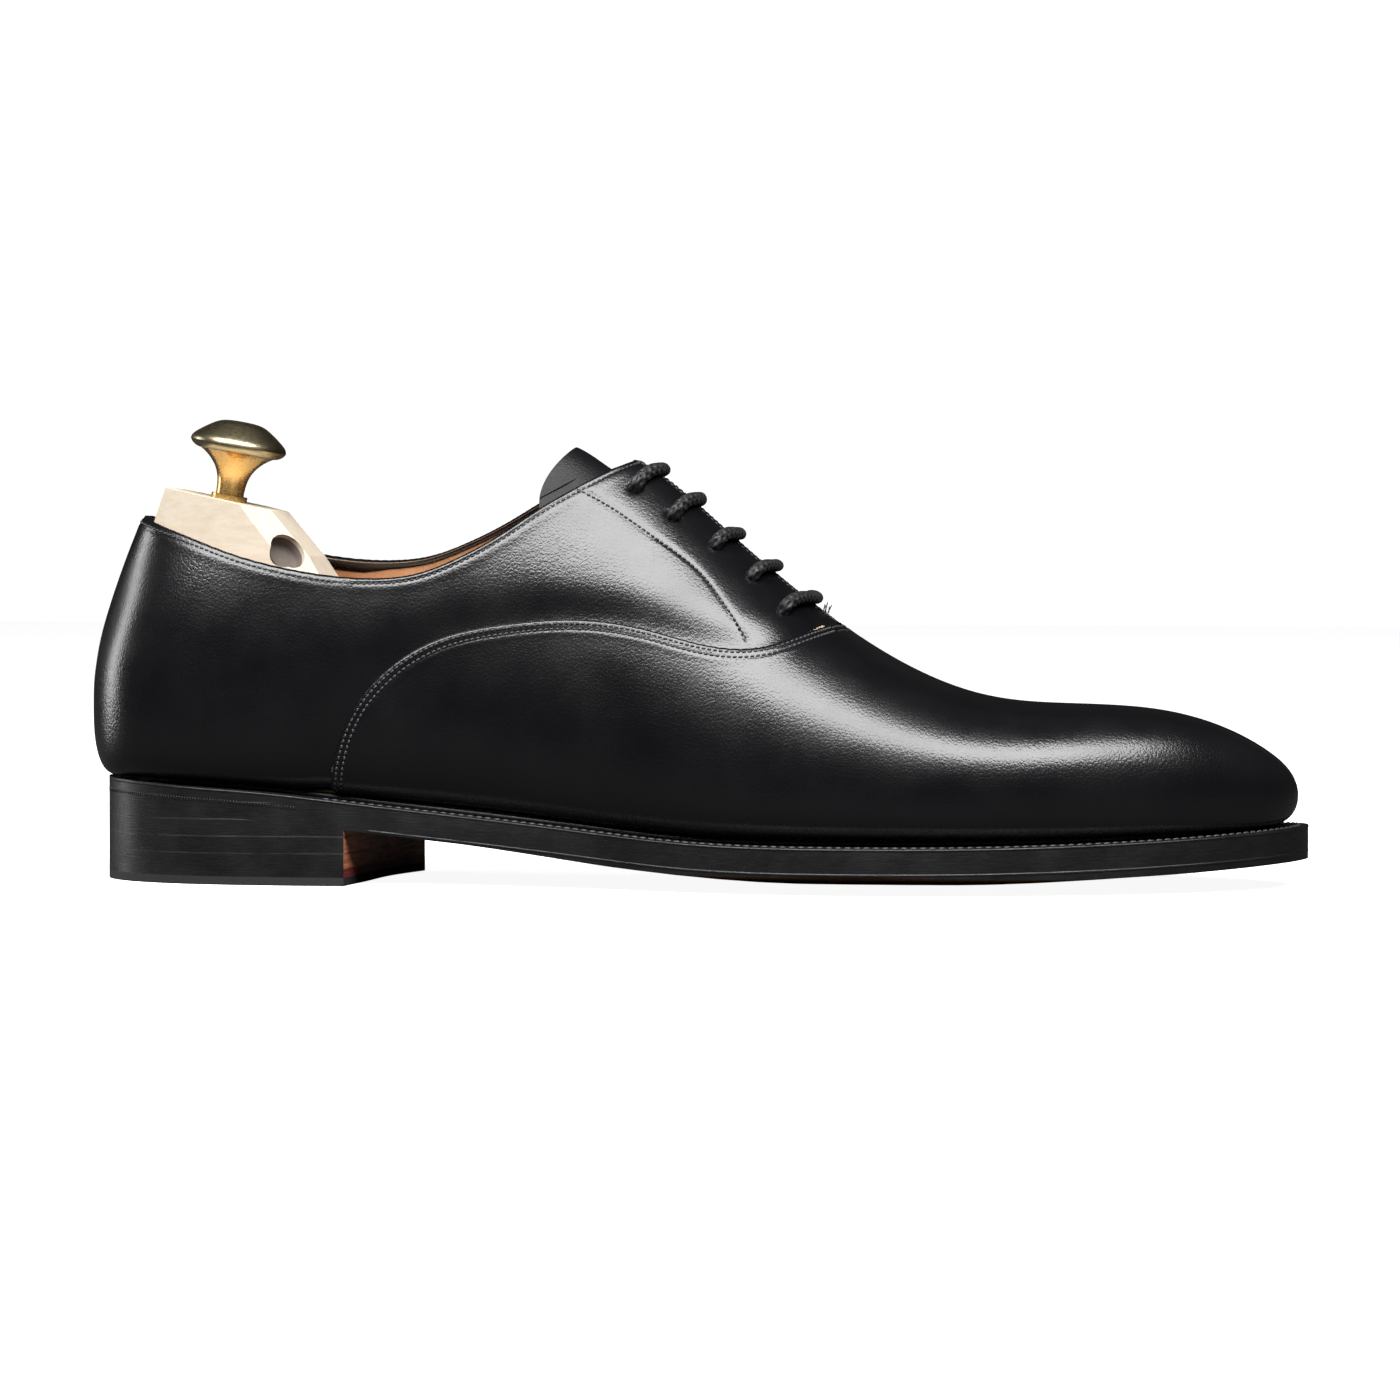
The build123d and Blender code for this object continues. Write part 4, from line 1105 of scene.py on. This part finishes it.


# ---- a dark cup in the block's finger hole: painted shade standing in for the depth of the hole ----
BORE_MOUTH = np.array([52.4, -14.5, 83.4])
BORE_AXIS = unit(np.array([0.6245, -0.5766, 0.527]))
level = unit(np.cross(BORE_AXIS, UP))
rise = np.cross(level, BORE_AXIS)
turns = np.linspace(0, 2 * np.pi, 48, endpoint=False)
# (radius, depth along the axis)
rings = [(4.97, -0.35), (4.85, -0.5), (4.8, -2.2), (4.3, -2.9), (3.0, -3.2), (1.5, -3.3), (0.05, -3.35)]
# a shallow dark cup just inside the hole's mouth, painted shade in place of the hole's own darkness
shade_cup_points = np.array([BORE_MOUTH + BORE_AXIS * depth + (level * math.cos(a) + rise * math.sin(a)) * radius
                 for radius, depth in rings for a in turns])
mesh_object("bore_felt", shade_cup_points, grid_faces(len(rings), len(turns), wrap=True), BORE_SHADE, "tree_heel")

# ---- finishes of the carried-over parts ----
FINISHES = (
    (CALF, "back_strip"), (CALF_MATT, "tongue"), (AGLET, "aglets"), (EDGE, "welt"), (OUTSOLE, "outsole"),
    (BOARD, "heel_counter", "toe_puff", "vamp_backer", "quarter_backers", "insole"), (CORK, "cork_filler"),
    (LINING, "vamp_lining", "quarter_lining_lateral", "quarter_lining_medial", "sock_liner"),
    (HEEL, "heel_seat_rand", "heel_lift_lower", "heel_lift_upper", "heel_wedge"),
    (HEEL_LOWEST, "top_piece_leather"), (RUBBER, "top_piece_rubber"), (NAILS, "top_piece_nails"),
    (STEEL, "blind_eyelets", "heel_nails", "tree_hinge_plate", "tree_plate_pins", "tree_pivot_pin",
     "tree_knob_stud"), (WOOD, "shank", "tree_forepart", "tree_heel_block"),
    (BRASS_STEM, "tree_knob_collar", "tree_knob_stem"), (BRASS_CAP, "tree_knob_cap"),
)
for material, *names in FINISHES:
    for name in names:
        piece = bpy.data.objects[name]
        for part in [piece, *piece.children_recursive]:
            if part.type == "MESH":
                part.data.materials.clear()
                part.data.materials.append(material)


# ---- camera, stage and light ----
LOOK_AT = Vector(place([153.0, 0, 46.0]))
AWAY_FROM_SHOE = 1.2
yaw, elevation, roll = math.radians(6.3), math.radians(1.9), math.radians(0.15)
back = Vector((math.sin(yaw) * math.cos(elevation), -math.cos(yaw) * math.cos(elevation),
               math.sin(elevation)))
camera = bpy.data.objects.new("camera", bpy.data.cameras.new("camera"))
bpy.context.scene.collection.objects.link(camera)
camera.data.lens = 120.96
camera.data.shift_x = 0.0106
camera.data.shift_y = 0.0007
camera.data.clip_start = 0.05
turned = back.to_track_quat("Z", "Y").to_matrix().to_4x4() @ Matrix.Rotation(roll, 4, "Z")
camera.matrix_world = Matrix.Translation(LOOK_AT + back * AWAY_FROM_SHOE) @ turned
bpy.context.scene.camera = camera
bpy.context.scene.view_settings.view_transform = "Standard"


def stage_plane(name, corners, material):
    mesh = bpy.data.meshes.new(name)
    mesh.from_pydata(corners, [], [[0, 1, 2, 3]])
    plane = bpy.data.objects.new(name, mesh)
    bpy.context.scene.collection.objects.link(plane)
    mesh.materials.append(material)


def paper():
    """Pale studio paper, seen bright and throwing little light back on the leather."""
    m = Layers("studio_paper")
    m.put("Base Color", m.mix(m.noise(40, 4), (0.93, 0.93, 0.93), (0.97, 0.97, 0.97)))
    m.put("Roughness", 1.0)
    m.put("Specular IOR Level", 0.0)
    m.put("Emission Color", (1, 1, 1))
    m.put("Emission Strength", 0.93)
    dark = m.nodes.new("ShaderNodeBsdfDiffuse")
    dark.inputs["Color"].default_value = (0.05, 0.05, 0.05, 1)
    path = m.nodes.new("ShaderNodeLightPath")
    blend = m.nodes.new("ShaderNodeMixShader")
    sources = (path.outputs["Is Camera Ray"], dark.outputs[0], m.shader.outputs[0])
    for socket, source in zip(blend.inputs, sources):
        m.feed(socket, source)
    m.feed(m.nodes["Material Output"].inputs["Surface"], blend.outputs[0])
    return m.material


PAPER = paper()
stage_plane("floor", [(-4, -4, 0), (4, -4, 0), (4, 4, 0), (-4, 4, 0)], PAPER)
stage_plane("backdrop", [(-4, 3.9, -0.2), (4, 3.9, -0.2), (4, 3.9, 4), (-4, 3.9, 4)], PAPER)

world = bpy.data.worlds.new("studio")
bpy.context.scene.world = world
world.use_nodes = True
world.node_tree.nodes["Background"].inputs["Color"].default_value = (0.02, 0.02, 0.02, 1)


def area(name, at, look, size, power):
    light = bpy.data.lights.new(name, "AREA")
    light.shape = "RECTANGLE"
    light.size, light.size_y = size
    light.energy = power
    lamp = bpy.data.objects.new(name, light)
    bpy.context.scene.collection.objects.link(lamp)
    at, look = Vector(at), Vector(look)
    lamp.matrix_world = Matrix.Translation(at) @ (at - look).to_track_quat("Z", "Y").to_matrix().to_4x4()


area("overhead", (0.05, -0.64, 1.05), (0.03, 0, 0.05), (1.8, 0.62), 44)
area("left", (-1.25, 0.25, 0.25), (-0.15, 0, 0.05), (0.35, 0.8), 5)
